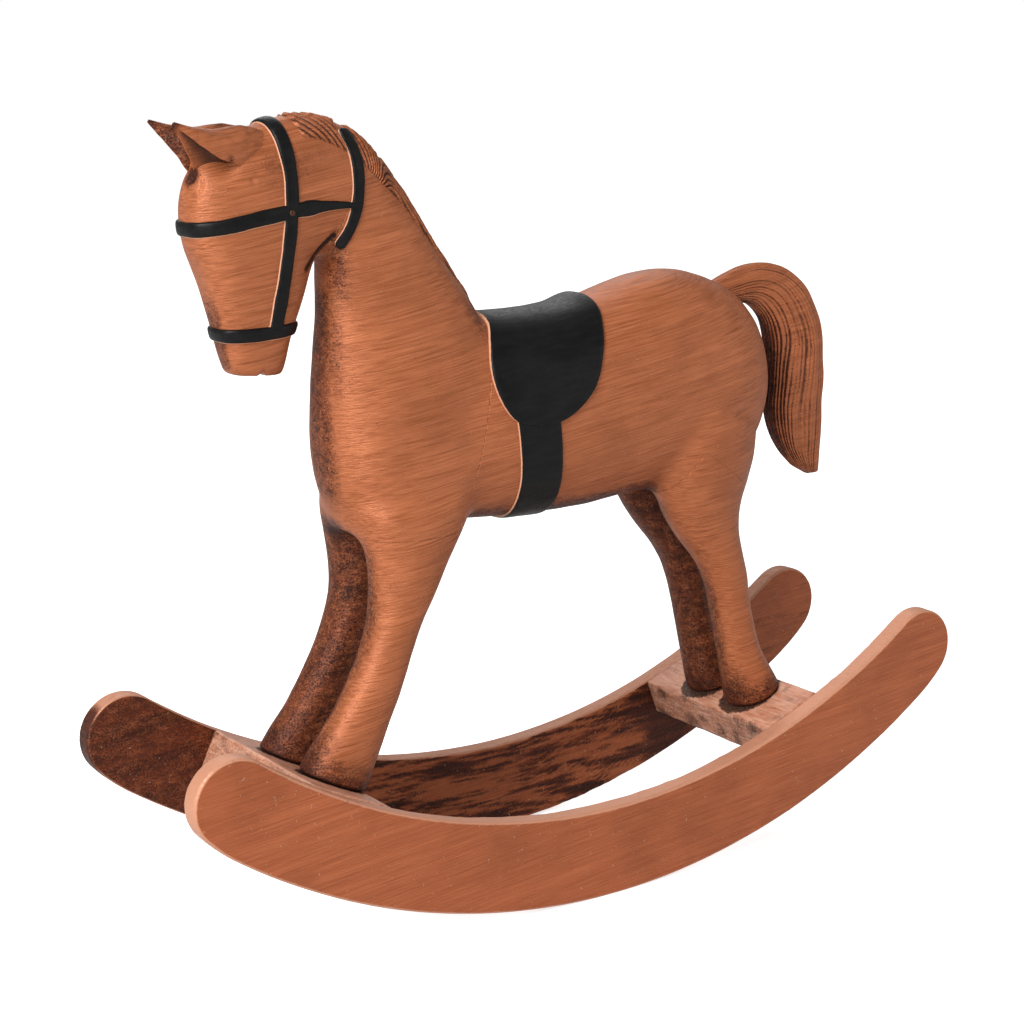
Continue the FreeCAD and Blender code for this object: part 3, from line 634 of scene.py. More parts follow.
PIECES["crown_strap_band"] = crown_strap()
PIECES["browband_band"] = browband()
PIECES["noseband_band"] = noseband()
REPLACED.update({"crown_strap_band": ("crown_strap",), "browband_band": ("browband",),
                 "noseband_band": ("noseband",)})
SIDES = (("left", -1), ("right", 1))
for side_name, side in SIDES:
    name = "side_strap_" + side_name
    PIECES[name] = flank_strap(name, SIDE, side, STRAP_WIDE - 0.3, 1.5, side, (False, True), 0.9)
    REPLACED[name] = ("side_straps",)
    name = "throat_latch_" + side_name
    PIECES[name] = flank_strap(name, THROAT, side, STRAP_WIDE - 0.2, STRAP_WIDE - 1.2, side,
                               (True, True))
    REPLACED[name] = ("throat_latch",)


# ------------------------------------------------------------ saddle, girth
SADDLE_FRONT = ((-27.0, 204.0), (-28.5, 190.0), (-33.0, 181.0), (-34.6, 172.0), (-32.5, 163.0),
                (-27.5, 157.0), (-19.0, 154.8))
SADDLE_REAR = ((-19.0, 154.8), (-10.5, 156.0), (-3.6, 159.6), (2.6, 165.8), (7.0, 174.5),
               (11.0, 183.5), (15.0, 191.5), (17.0, 204.0))
BARREL_AXIS_Z = 158.0
WALL = np.array([0.0, 0.1, 0.22, 0.4, 0.65, 1.0, 1.5, 2.2])
WALL_HEIGHT = np.array([-0.4, 0.35, 0.75, 1.0, 1.12, 1.2, 1.26, 1.3])


def barrel_point(x, angle):
    return hit((x, 0, BARREL_AXIS_Z), (0, math.sin(angle), math.cos(angle)))


def barrel_patch(name, angles, front_x, back_x, columns, rise, back_lip):
    """A raised pad on the barrel between a front and a rear edge, which give x for a height z."""
    rows = []
    for angle in angles:
        front, back = front_x(BARREL_AXIS_Z), back_x(BARREL_AXIS_Z)
        for _ in range(5):
            front = front_x(barrel_point(front, angle)[2])
            back = back_x(barrel_point(back, angle)[2])
        width = max(back - front, 0.02)
        fixed = min(WALL[-1], width / 2)
        inset = WALL * fixed / WALL[-1]
        middle = np.linspace(inset[-1], width - inset[-1], columns)[1:-1]
        xs = front + np.concatenate([inset, middle, width - inset[::-1]])
        rows.append([barrel_point(x, angle) for x in xs])
    q = np.array([[list(p) for p in row] for row in rows])
    smooth_grid(q, 1)
    # distance to the nearest edge of the pad, along its rows and from its rounded ends
    gap = np.minimum(np.abs(q[:, :, 0] - q[:, :1, 0]), np.abs(q[:, :, 0] - q[:, -1:, 0]))
    middle = q.shape[1] // 2
    ends = np.minimum(*[np.linalg.norm(q - q[i, middle], axis=2) for i in (0, -1)])
    gap = np.minimum(gap, ends * 1.2) if back_lip else gap
    height = np.interp(gap, WALL, WALL_HEIGHT) * rise / WALL_HEIGHT[-1]
    if back_lip:
        x = q[:, :, 0]
        top = np.clip(1 - (np.abs(np.array(angles))[:, None] / 1.25) ** 2, 0, 1)
        height += back_lip * np.exp(-((x - 12.5) / 5.0) ** 2) * top * smoothstep(0.0, 1.5, gap)
    height += 0.06 * noise3(q, 9.0)
    rim = 1.0 - smoothstep(0.14, 0.38, gap)
    if back_lip:   # no bare edge where the flap runs on into the girth
        rim *= np.maximum(smoothstep(157.0, 158.5, q[:, :, 2]), np.abs(q[:, :, 0] + 19.5) > 8.0)
    axis = np.array([0, 0, BARREL_AXIS_Z])
    return relief(name, q, height, rim, depth=0.9, outwards=lambda g: g - axis)


def branch(points, low_first):
    """One edge of the saddle as x for a height z."""
    line = spline(points, 400)
    line = line if low_first else line[::-1]
    return lambda z: float(np.interp(z, line[:, 1], line[:, 0]))


def saddle_angle_limit():
    """The angle round the barrel at which the flap's lowest point lies."""
    low, high = 1.2, 2.0
    for _ in range(24):
        mid = (low + high) / 2
        if barrel_point(-19.0, mid)[2] > SADDLE_REAR[0][1] + 0.02:
            low = mid
        else:
            high = mid
    return low


limit = saddle_angle_limit()
bend = np.linspace(-1, 1, 150)
angles = limit * np.sign(bend) * (1 - (1 - np.abs(bend)) ** 1.8)
PIECES["saddle_pad"] = barrel_patch("saddle_pad", angles, branch(SADDLE_FRONT, False),
                                    branch(SADDLE_REAR, True), 46, 1.35, 0.9)
REPLACED["saddle_pad"] = ("saddle",)
girth_angles = np.linspace(math.radians(84), math.radians(276), 150)
PIECES["girth_band"] = barrel_patch(
    "girth_band", girth_angles, lambda z: -28.0 + (160 - z) * 7.5 / 48,
    lambda z: -12.0 + (160 - z) * 6.0 / 48, 14, 0.95, 0.0)
REPLACED["girth_band"] = ("girth",)


# --------------------------------------------------------------------- mane
MANE_LINE = (  # crest point and a point of the core under it, from the poll to the withers
    ((-95.5, 251.6), (-91.0, 238.0)), ((-86.5, 251.3), (-84.5, 238.0)), ((-78.6, 248.7), (-79.4, 234.0)),
    ((-72.0, 245.7), (-75.2, 230.0)), ((-60.9, 234.7), (-69.5, 221.5)), ((-50.7, 221.1), (-62.0, 213.0)),
    ((-40.8, 205.8), (-55.0, 201.0)), ((-33.0, 194.4), (-48.0, 190.0)), ((-29.6, 189.4), (-44.0, 184.0)))
MANE_BORDER = (10.0, 12.0, 12.4, 11.2, 8.4, 6.4, 5.0, 3.7, 2.6)  # down from the crest at those points


MANE_GRID = (560, 81)
GROOVE_PITCH, BRAID_ENDS, STRANDS_START = 2.9, 27.0, 44.0   # slanting grooves turn into long ones


def mane():
    nu, nv = MANE_GRID
    crest = spline([c for c, _ in MANE_LINE], nu)
    core = spline([c for _, c in MANE_LINE], nu)
    at = np.linspace(0, 1, len(MANE_LINE))
    border = np.interp(np.linspace(0, 1, nu), at, MANE_BORDER)
    run = lengths(crest)
    v = np.linspace(-1, 1, nv)
    q = np.empty((nu, nv, 3))
    for i in range(nu):
        up = np.array([crest[i, 0] - core[i, 0], 0, crest[i, 1] - core[i, 1]])
        reach = np.linalg.norm(up)
        up /= reach
        for k in range(nv):
            # the skin is closer than the reach on the sides, so the angle grows a little faster
            angle = 1.25 * v[k] * border[i] / reach
            direction = up * math.cos(angle) + np.array([0, math.sin(angle), 0])
            q[i, k] = hit((core[i, 0], 0, core[i, 1]), direction)
    smooth_grid(q, 3)
    a = run[:, None]
    down = np.abs(v)[None, :] * border[:, None]
    drift = noise3(q, 6.0)
    blend = smoothstep(BRAID_ENDS, STRANDS_START, a)
    diagonal = (a - 1.0 * down) / GROOVE_PITCH
    length = (down * 1.15 + 0.03 * a) / 1.45
    phase = diagonal * (1 - blend) + (length + 8.3) * blend + 0.10 * drift
    wave = np.abs(np.sin(np.pi * phase))
    height = -0.15 + 1.2 * wave ** 0.8 * (0.85 + 0.25 * drift)
    height += 0.10 * noise3(q, (1.4, 1.0, 1.4))
    edge = smoothstep(0.0, 0.16, 1 - np.abs(v))[None, :]
    ends = smoothstep(0.0, 1.0, np.minimum(a, run[-1] - a) / 1.6)
    # the mane lies flat under the throat latch
    latch = spline(THROAT, 60)
    gap = np.hypot(q[:, :, 0, None] - latch[:, 0], q[:, :, 2, None] - latch[:, 1]).min(2)
    clear = smoothstep(1.8, 3.0, gap)
    height = -0.3 + (height + 0.3) * edge * ends * clear
    rim = np.clip(1.5 * (1 - wave) - 0.18 + (1 - edge) * 0.5, 0, 1)
    return relief("mane_crest", q, height, rim, outwards=lambda g: g - np.array([-70, 0, 215]))


PIECES["mane_crest"] = mane()
REPLACED["mane_crest"] = ("mane",)
SLOTS["mane_crest"] = "copper_painted_wood"


# --------------------------------------------------------------------- tail
TAIL = (  # x, z, tilt of the section, half depth, half width
    (66.0, 185.5, 105.0, 4.0, 4.2), (77.0, 188.6, 96.0, 5.2, 5.2), (88.0, 189.0, 74.0, 7.5, 6.2),
    (98.2, 184.0, 50.0, 10.0, 7.2), (105.0, 173.0, 22.0, 11.7, 7.8), (107.0, 157.5, 6.0, 12.1, 8.0),
    (107.4, 143.0, 0.0, 11.7, 7.4), (110.0, 130.0, -8.0, 9.5, 6.0), (114.6, 119.4, -18.0, 4.9, 3.4))


TAIL_RINGS_PER_ROW, TAIL_AROUND = 31, 352
SQUARENESS, FINE_GROOVES, LOCKS = 2.2, 20.0, 4.5


def tail():
    rows = through(TAIL, TAIL_RINGS_PER_ROW)
    theta = np.linspace(0, 2 * np.pi, TAIL_AROUND, endpoint=False)
    x, z, tilt, deep, wide = rows.T
    tilt = np.radians(tilt)
    share = np.linspace(0, 1, len(rows))
    # the tip is drawn in round
    tip = np.sqrt(np.clip(1 - smoothstep(0.965, 1.0, share) ** 2 * 0.97, 0, 1))
    deep, wide = deep * tip, wide * tip
    c, s = np.cos(theta), np.sin(theta)
    reach = np.sign(c) * np.abs(c) ** (2 / SQUARENESS)
    across = np.sign(s) * np.abs(s) ** (2 / SQUARENESS)
    q = np.empty((len(rows), len(theta), 3))
    q[:, :, 0] = x[:, None] + np.cos(tilt)[:, None] * deep[:, None] * reach
    q[:, :, 1] = wide[:, None] * across
    q[:, :, 2] = z[:, None] + np.sin(tilt)[:, None] * deep[:, None] * reach
    n = np.cross(np.roll(q, -1, 1) - np.roll(q, 1, 1), np.gradient(q, axis=0))
    n /= np.maximum(np.linalg.norm(n, axis=2, keepdims=True), 1e-9)
    outward = q - np.stack([x, 0 * x, z], 1)[:, None]
    if (n * outward).sum() < 0:
        n = -n
    u = share[:, None] * 8.0
    flow = np.stack(np.broadcast_arrays(u, np.cos(theta) * 1.6, np.sin(theta) * 1.6), 2)
    turn = theta[None, :] + (noise3(flow * 0.6) * 0.16 + 0.7 * (share[:, None] - 0.5))
    fine = np.abs(np.sin(turn * FINE_GROOVES)) ** 0.7
    lock = np.abs(np.sin(turn * LOCKS + 1.0)) ** 0.35
    fade = smoothstep(0.0, 0.18, share)[:, None] * (1 - smoothstep(0.97, 1.0, share))[:, None]
    strand = np.stack(np.broadcast_arrays(u * 0.35, np.cos(turn) * 5.0, np.sin(turn) * 5.0), 2)
    mix = smoothstep(-0.5, 0.5, noise3(strand + 4.0))
    cut = (0.25 + 0.45 * mix) * (1 - fine) + 0.45 * (1 - lock)
    size = np.minimum(deep, wide)[:, None] / 7.0
    q = q - n * (cut * (0.35 + 0.65 * fade) * np.clip(size, 0.3, 1))[:, :, None]
    q = q + n * (0.25 * noise3(q, 9.0) * fade)[:, :, None]
    rim = np.clip(0.95 * mix * (1 - fine) ** 1.6 + 0.6 * (1 - lock), 0, 0.9)
    return closed_tube("tail_carved", q, {"rim": rim})


PIECES["tail_carved"] = tail()
REPLACED["tail_carved"] = ("tail",)
SLOTS["tail_carved"] = "copper_painted_wood"


# --------------------------------------------------------------------- ears
for side_name, side in SIDES:
    name = "ear_carved_" + side_name
    grid, hollow = ear_grid(side)
    PIECES[name] = closed_tube(name, grid, {"rim": hollow})
    REPLACED[name] = ("ear_" + side_name,)
    SLOTS[name] = "copper_painted_wood"


# ------------------------------------------------------------------- rivets
RIVET_R, RIVET_LIFT, RIVET_RINGS, RIVET_AROUND = 0.95, 0.5, 7, 28


def rivet(side):
    """A domed stud, from the middle of its dome out to its rim and down into the strap."""
    spot = hit((-98.8, 0, 224.4), (0, side, 0))
    turns = [math.pi / 2 * i / RIVET_RINGS for i in range(RIVET_RINGS + 1)]
    rings = [(RIVET_R * math.sin(t), STRAP_RISE - 0.1 + RIVET_LIFT * math.cos(t)) for t in turns]
    rings.append((RIVET_R, STRAP_RISE - 0.7))
    co = []
    for radius, lift in rings:
        for k in range(RIVET_AROUND):
            angle = 2 * math.pi * k / RIVET_AROUND
            co.append((spot[0] + radius * math.cos(angle), spot[1] + side * lift,
                       spot[2] + radius * math.sin(angle)))
    faces = ring_quads(len(rings), RIVET_AROUND)
    faces.append(tuple(range(len(co) - RIVET_AROUND, len(co))))
    mesh = mesh_from("rivet", co, faces)
    face_outwards(mesh)
    shade_smooth(mesh)
    return add_object("strap_rivet_" + ("left" if side < 0 else "right"), mesh)


for side_name, side in SIDES:
    PIECES["strap_rivet_" + side_name] = rivet(side)
    REPLACED["strap_rivet_" + side_name] = ("strap_rivets",)
    SLOTS["strap_rivet_" + side_name] = "copper_stud"


# ------------------------------------------------------------------ rockers
BOTTOM_R, MID_DEPTH, TIP_R, TIP_Z, HEEL_R, LENGTH = 241.0, 30.0, 13.6, 60.3, 60.0, 300.0
ROCKER_THICK, ROCKER_GAP = 7.0, 64.6
TIP_X = LENGTH / 2 - TIP_R
TOP_R = (TIP_X ** 2 + (TIP_Z - MID_DEPTH) ** 2 - TIP_R ** 2) / (2 * (TIP_Z - MID_DEPTH + TIP_R))
TOP_Z = MID_DEPTH + TOP_R


def heel():
    a, b = BOTTOM_R - HEEL_R, HEEL_R - TIP_R
    run, climb = TIP_X, TIP_Z - BOTTOM_R
    gap = math.hypot(run, climb)
    along = (a * a - b * b + gap * gap) / (2 * gap)
    aside = math.sqrt(max(a * a - along * along, 0))
    return (run * along + climb * aside) / gap, BOTTOM_R + (climb * along - run * aside) / gap


HEEL_X, HEEL_Z = heel()


def rocker_edges(xs, inset):
    """Lower and upper edge of a runner, moved inwards by inset, at abscissae on its own outline."""
    ax = np.abs(xs)
    # below: the sole, then the tighter heel, then the round tip
    sole_end = HEEL_X * (BOTTOM_R - inset) / (BOTTOM_R - HEEL_R)
    gap = math.hypot(TIP_X - HEEL_X, TIP_Z - HEEL_Z)
    heel_end = HEEL_X + (TIP_X - HEEL_X) / gap * (HEEL_R - inset)
    sole = BOTTOM_R - np.sqrt((BOTTOM_R - inset) ** 2 - ax ** 2)
    heel_arc = HEEL_Z - np.sqrt(np.clip((HEEL_R - inset) ** 2 - (ax - HEEL_X) ** 2, 0, None))
    tip = np.sqrt(np.clip((TIP_R - inset) ** 2 - (ax - TIP_X) ** 2, 0, None))
    low = np.where(ax < sole_end, sole, np.where(ax < heel_end, heel_arc, TIP_Z - tip))
    # above: the hollow top edge, then the tip
    top_end = TIP_X - TIP_X / (TOP_R + TIP_R) * (TIP_R - inset)
    top = TOP_Z - np.sqrt((TOP_R + inset) ** 2 - ax ** 2)
    return low, np.maximum(np.where(ax < top_end, top, TIP_Z + tip), low)


EDGE_ROUND = 1.1
RUNNER_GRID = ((520, 40))   # along, up


def runner_mesh():
    """One runner with rounded edges as points (x, depth from one face, z) and faces."""
    nu, nv = RUNNER_GRID
    t = np.linspace(-1, 1, nu + 1)
    spread = np.sign(t) * (1 - (1 - np.abs(t)) ** 1.35)   # closer together at the tips
    rounding = [(EDGE_ROUND * (1 - math.sin(a)), EDGE_ROUND * (1 - math.cos(a)))
                for a in np.linspace(0, math.pi / 2, 6)]
    walls = np.linspace(EDGE_ROUND, ROCKER_THICK - EDGE_ROUND, 7)[1:-1]
    profile = (rounding + [(0.0, w) for w in walls]
               + [(inset, ROCKER_THICK - depth) for inset, depth in rounding[::-1]])
    co, faces, loops = [], [], []
    for inset, depth in profile:
        xs = spread * (LENGTH / 2 - inset)
        low, high = rocker_edges(xs, inset)
        loops.append(list(range(len(co), len(co) + 2 * nu)))
        co += [(xs[i], depth, low[i]) for i in range(nu + 1)]
        co += [(xs[i], depth, high[i]) for i in range(nu - 1, 0, -1)]
    for lower, upper in zip(loops[:-1], loops[1:]):
        for i in range(2 * nu):
            j = (i + 1) % (2 * nu)
            faces.append((lower[i], lower[j], upper[j], upper[i]))
    xs = spread * (LENGTH / 2 - EDGE_ROUND)
    low, high = rocker_edges(xs, EDGE_ROUND)
    for loop, depth in ((loops[0], 0.0), (loops[-1], ROCKER_THICK)):
        columns = [[loop[0]]]
        for i in range(1, nu):
            inner = list(range(len(co), len(co) + nv - 1))
            co += [(xs[i], depth, low[i] + (high[i] - low[i]) * k / nv) for k in range(1, nv)]
            columns.append([loop[i], *inner, loop[2 * nu - i]])
        columns.append([loop[nu]])
        for a, b in zip(columns[:-1], columns[1:]):
            for k in range(nv):
                quad = [a[min(k, len(a) - 1)], b[min(k, len(b) - 1)],
                        b[min(k + 1, len(b) - 1)], a[min(k + 1, len(a) - 1)]]
                quad = list(dict.fromkeys(quad))
                if len(quad) > 2:
                    faces.append(tuple(quad))
    return np.array(co), faces, spread * LENGTH / 2


def rocker(side):
    co, faces, outline_x = runner_mesh()
    inner = ROCKER_GAP / 2
    co[:, 1] = side * (inner + co[:, 1])
    mesh = mesh_from("rocker", co, faces)
    face_outwards(mesh)
    co = coords(mesh)
    n = normals(mesh)
    inner_face = 1 - smoothstep(0.0, 2.0, side * co[:, 1] - inner)
    grain = noise3(co, (30.0, 6.0, 2.2), side)
    wave = 0.10 * noise3(co, (32.0, 8.0, 11.0), 3 * side) + 0.035 * grain
    # the inner face is roughly cut, most of all in the middle
    gouge = np.clip(np.abs(noise3(co, (16.0, 4.0, 5.0), 8 * side)) * 2 - 0.2, 0, 1)
    chatter = noise3(co, (7.0, 3.0, 1.3), 21)
    middle = 1 - smoothstep(70, 110, np.abs(co[:, 0] - 20))
    wave -= inner_face * (0.12 + 0.42 * middle) * (0.6 * gouge + 0.5 * np.abs(chatter))
    specks = np.clip(noise3(co, 1.5, 40) - 0.62, 0, 1) * (noise3(co, 24.0, 6) > -0.1)
    wave += 0.5 * specks * (1 - inner_face)
    near_board = np.minimum(abs(co[:, 0] + 93), abs(co[:, 0] - 81))
    wave *= np.where(inner_face > 0.5, smoothstep(14, 18, near_board) * 0.8 + 0.2, 1)
    co += n * wave[:, None]
    # the sole touches the floor, so it stays on its curve
    co[:, 2] = np.maximum(co[:, 2], BOTTOM_R - np.sqrt(BOTTOM_R ** 2 - co[:, 0] ** 2))
    set_coords(mesh, co)
    low, high = rocker_edges(outline_x, 0.0)
    rim_x, rim_z = np.tile(outline_x, 2), np.concatenate([low, high])
    from_edge = np.array([np.hypot(rim_x - a, rim_z - b).min() for a, b in zip(co[:, 0], co[:, 2])])
    # light paint along the runner's outline: wear, and partly a painted edge highlight
    set_attribute(mesh, "edge", 1 - smoothstep(0.2, 1.5, from_edge))
    shade_smooth(mesh)
    return add_object("rocker_runner_" + ("left" if side < 0 else "right"), mesh)


def rocker_top_z(x):
    return TOP_Z - math.sqrt(TOP_R ** 2 - x ** 2)


for side_name, side in SIDES:
    name = "rocker_runner_" + side_name
    PIECES[name] = rocker(side)
    REPLACED[name] = ("rocker_" + side_name,)
    SLOTS[name] = "copper_painted_wood"


# ------------------------------------------------------------- cross boards
BOARD_THICK = 13.5
BOARDS = {"front_cross_slat": (-106.0, -80.0, "front_cross_board"),
          "rear_cross_slat": (69.5, 92.5, "rear_cross_board")}


BOARD_CELL, BOARD_ROUND = 0.8, 1.0


def slat(name, x_low, x_high):
    """A worn board that lies along the chord of the runners' top edge between two abscissae."""
    low = np.array([x_low, 0, rocker_top_z(x_low)])
    high = np.array([x_high, 0, rocker_top_z(x_high)])
    wide = np.linalg.norm(high - low)
    along = (high - low) / wide
    up = np.array([-along[2], 0, along[0]])
    half = np.array([wide / 2, ROCKER_GAP / 2, BOARD_THICK / 2])
    centre = (low + high) / 2 - up * half[2]
    counts = np.maximum((half * 2 / BOARD_CELL).astype(int), 4)
    bm = bmesh.new()
    corner = {}

    def vert(*index):
        if index not in corner:
            corner[index] = bm.verts.new((np.array(index) / counts * 2 - 1) * half)
        return corner[index]
    for axis in range(3):
        a, b = [m for m in range(3) if m != axis]
        for end in (0, counts[axis]):
            for i, j in np.ndindex(counts[a], counts[b]):
                cell = []
                for da, db in ((0, 0), (1, 0), (1, 1), (0, 1)):
                    index = [0, 0, 0]
                    index[axis], index[a], index[b] = end, i + da, j + db
                    cell.append(vert(*index))
                bm.faces.new(cell)
    mesh = bpy.data.meshes.new(name)
    bm.to_mesh(mesh)
    bm.free()
    p = read(mesh.vertices, "co", 3).astype(float)
    rounding = FLAT * BOARD_ROUND
    core = np.clip(p, -(half - rounding), half - rounding)
    off = (p - core) * FLAT
    length = np.linalg.norm(off, axis=1)[:, None]
    p = np.where(length > 1e-6, core + off / np.maximum(length, 1e-9) * BOARD_ROUND, p)
    world = centre + p[:, :1] * along + p[:, 1:2] * np.array([0, 1, 0]) + p[:, 2:] * up
    n = np.where(np.abs(off) > 1e-6, off, 0)
    n = n / np.maximum(np.linalg.norm(n, axis=1)[:, None], 1e-9)
    n = n[:, :1] * along + n[:, 2:] * up
    wear = 0.16 * noise3(world, (9.0, 14.0, 7.0))
    wear += 0.10 * noise3(world, (2.2, 6.0, 2.0)) - 0.12
    wear *= smoothstep(0, 2.5, half[1] - np.abs(p[:, 1]))
    set_coords(mesh, world + n * wear[:, None])
    face_outwards(mesh)
    shade_smooth(mesh)
    return add_object(name, mesh)


for name, (x_low, x_high, node) in BOARDS.items():
    PIECES[name] = slat(name, x_low, x_high)
    REPLACED[name] = (node,)
    SLOTS[name] = "weathered_board_wood"


# --------------------------------------------------------- where paint is dark, and where shade is painted
# dark spots on the horse, the same on both sides: strength, centre, radii
DARK_BOTH_SIDES = (
    (0.80, (-82.0, 10.0, 206.0), (7.0, 12.0, 22.0)), (0.62, (-84.0, 9.0, 186.0), (6.0, 11.0, 34.0)),
    (0.35, (-100.0, 12.0, 238.0), (20.0, 9.0, 14.0)), (0.45, (-34.0, 10.0, 188.0), (9.0, 14.0, 20.0)),
    (0.62, (30.0, 24.0, 126.0), (12.0, 12.0, 7.0)), (0.55, (-42.0, 20.0, 116.0), (9.0, 14.0, 9.0)),
    (0.35, (-117.0, 8.0, 178.0), (6.0, 9.0, 5.0)))
# the second spot, in the hole between the ears, is painted shade
DARK_SPOTS = (
    (0.80, (-80.0, 2.0, 125.0), (10.0, 10.0, 8.0)), (1.3, (-124.4, -1.0, 235.2), (4.4, 5.2, 5.6)),
    (0.70, (-112.0, 0.0, 250.0), (11.0, 12.0, 5.0)), (0.75, (78.0, 0.0, 186.0), (9.0, 16.0, 10.0)))
FEET = {"front_cross_slat": (-90.0, 12.5), "rear_cross_slat": (81.5, 10.5)}


def patina(name, co, n):
    """From 0, clean copper paint, to 1, dark antique glaze; part of it is painted shade under the body,
    between parts and on faces turned from the light.
    """
    x, y, z = co.T
    nx, ny, nz = n.T
    above = z - TOP_Z + np.sqrt(TOP_R ** 2 - np.clip(x, -150, 150) ** 2)   # the runners' top edge
    mirrored = np.stack([x, np.abs(y), z], 1)
    out = np.zeros(len(co))

    def add(value):
        np.maximum(out, value, out=out)
    if "leg" in name:
        inward = -np.sign(y) * ny
        front = -0.85 * nx + 0.25 * inward
        below_body = smoothstep(140, 122, z)
        add(0.62 * smoothstep(0.5, 0.95, front) * smoothstep(135, 112, z))
        add(0.78 * smoothstep(26, 4, above) * smoothstep(-0.2, 0.7, front))
        add(0.58 * smoothstep(14, 3, above))
        # painted shade: the legs are darker on their inner sides under the body and on the faces turned
        # back, away from the key light
        add(0.66 * smoothstep(-0.1, 0.45, inward) * below_body)
        add(0.98 * smoothstep(0.3, 0.8, inward) * smoothstep(-0.1, 0.5, nx) * below_body)
        add(0.5 * smoothstep(0.75, 1.0, nx) * smoothstep(140, 110, z))
        # the far legs are darker on the faces turned to the front and the near side, below the body
        if name.endswith("right"):
            add(0.62 * smoothstep(0.0, 0.5, -0.8 * nx - 0.6 * ny) * smoothstep(138, 124, z))
        add(1.1 * smoothstep(2.4, 1.2, above))   # glue at the foot
    if name.startswith("horse_") or name.startswith("ear_"):
        # painted shade under the chest on the far side, between the forelegs
        add(0.95 * blob(co, (-76.0, 8.0, 123.0), (11.0, 13.0, 13.0)) * smoothstep(-1, 4, y))
        add(0.6 * smoothstep(0.8, 1.0, -nx) * smoothstep(124, 140, z) * smoothstep(206, 196, z))
        # painted shade on faces turned downwards, low on the body and legs
        add(0.85 * smoothstep(0.5, 0.95, -nz) * (z < 140))
        add(1.1 * near_line(mirrored * FLAT, *JAW, 1.0) * smoothstep(2.0, 4.0, mirrored[:, 1]))
        add(0.9 * near_line(mirrored, *EAR_CREASE, 1.4))
        for strength, centre, radii in DARK_BOTH_SIDES:
            add(strength * blob(mirrored, centre, radii))
        for strength, centre, radii in DARK_SPOTS:
            add(strength * blob(co, centre, radii))
    if name.startswith("ear_"):
        add(0.9 * smoothstep(-130.5, -134, x))
        # painted shade on the sides of the ears that face each other, towards their front
        add(0.66 * smoothstep(0.0, 0.6, np.sign(-y) * ny) * smoothstep(-116, -124, x))
    if name == "tail_carved":
        # painted shade on the tail's faces turned forwards to the rump, and under its root
        add(0.9 * smoothstep(0.25, 0.95, -nx + 0.1 * noise3(co, 5.0)))
        add(0.9 * blob(co, (80.0, 0.0, 186.0), (14.0, 12.0, 10.0)) * smoothstep(0.2, -0.6, nz))
        add(0.12)
    if name == "mane_crest":
        add(0.26)
    if name == "rocker_runner_right":
        # the far runner's inner face: dark glaze with lighter patches, plus painted shade that is
        # thickest next to the cross boards and thinner between them and towards the ends
        inner = smoothstep(0.55, 0.85, -ny)
        patch = 0.8 * noise3(co, (28.0, 9.0, 3.4), 60.0)
        patch += 1.0 * noise3(co, (12.0, 9.0, 0.9), 7.0)
        between = smoothstep(-80, -55, x) * smoothstep(75, 60, x)
        outer = smoothstep(84, 100, x)
        inner_glaze_and_shade = (0.88 - between * (0.42 + 0.85 * patch) - 0.78 * outer * (1 + 0.4 * patch)
                 - 0.20 * smoothstep(-96, -112, x))
        add(inner * np.clip(inner_glaze_and_shade, 0.2, 1.2))
        add(0.85 * smoothstep(0.35, 0.8, -nx) * (x < -90))
        add(0.35 * smoothstep(0.5, 0.9, nz))
    if name == "rocker_runner_left":
        add(0.85 * smoothstep(0.6, 0.9, ny))
    if name in FEET:
        add(0.14)
        add(0.34 * smoothstep(0.3, 0.8, -nx) + 0.40 * smoothstep(0.0, 0.8, noise3(co, 6.0, 3.0)))
        # painted shade under the board
        add(0.9 * smoothstep(0.5, 0.9, -nz))
        foot_x, foot_y = FEET[name]
        ring = np.hypot((x - foot_x) / 10.6, (np.abs(y) - foot_y) / 9.0) + 0.05 * noise3(co, 2.0)
        add(1.1 * smoothstep(1.10, 1.02, ring) * smoothstep(0.3, 0.6, nz))
    return np.clip(out, 0, 1.15)


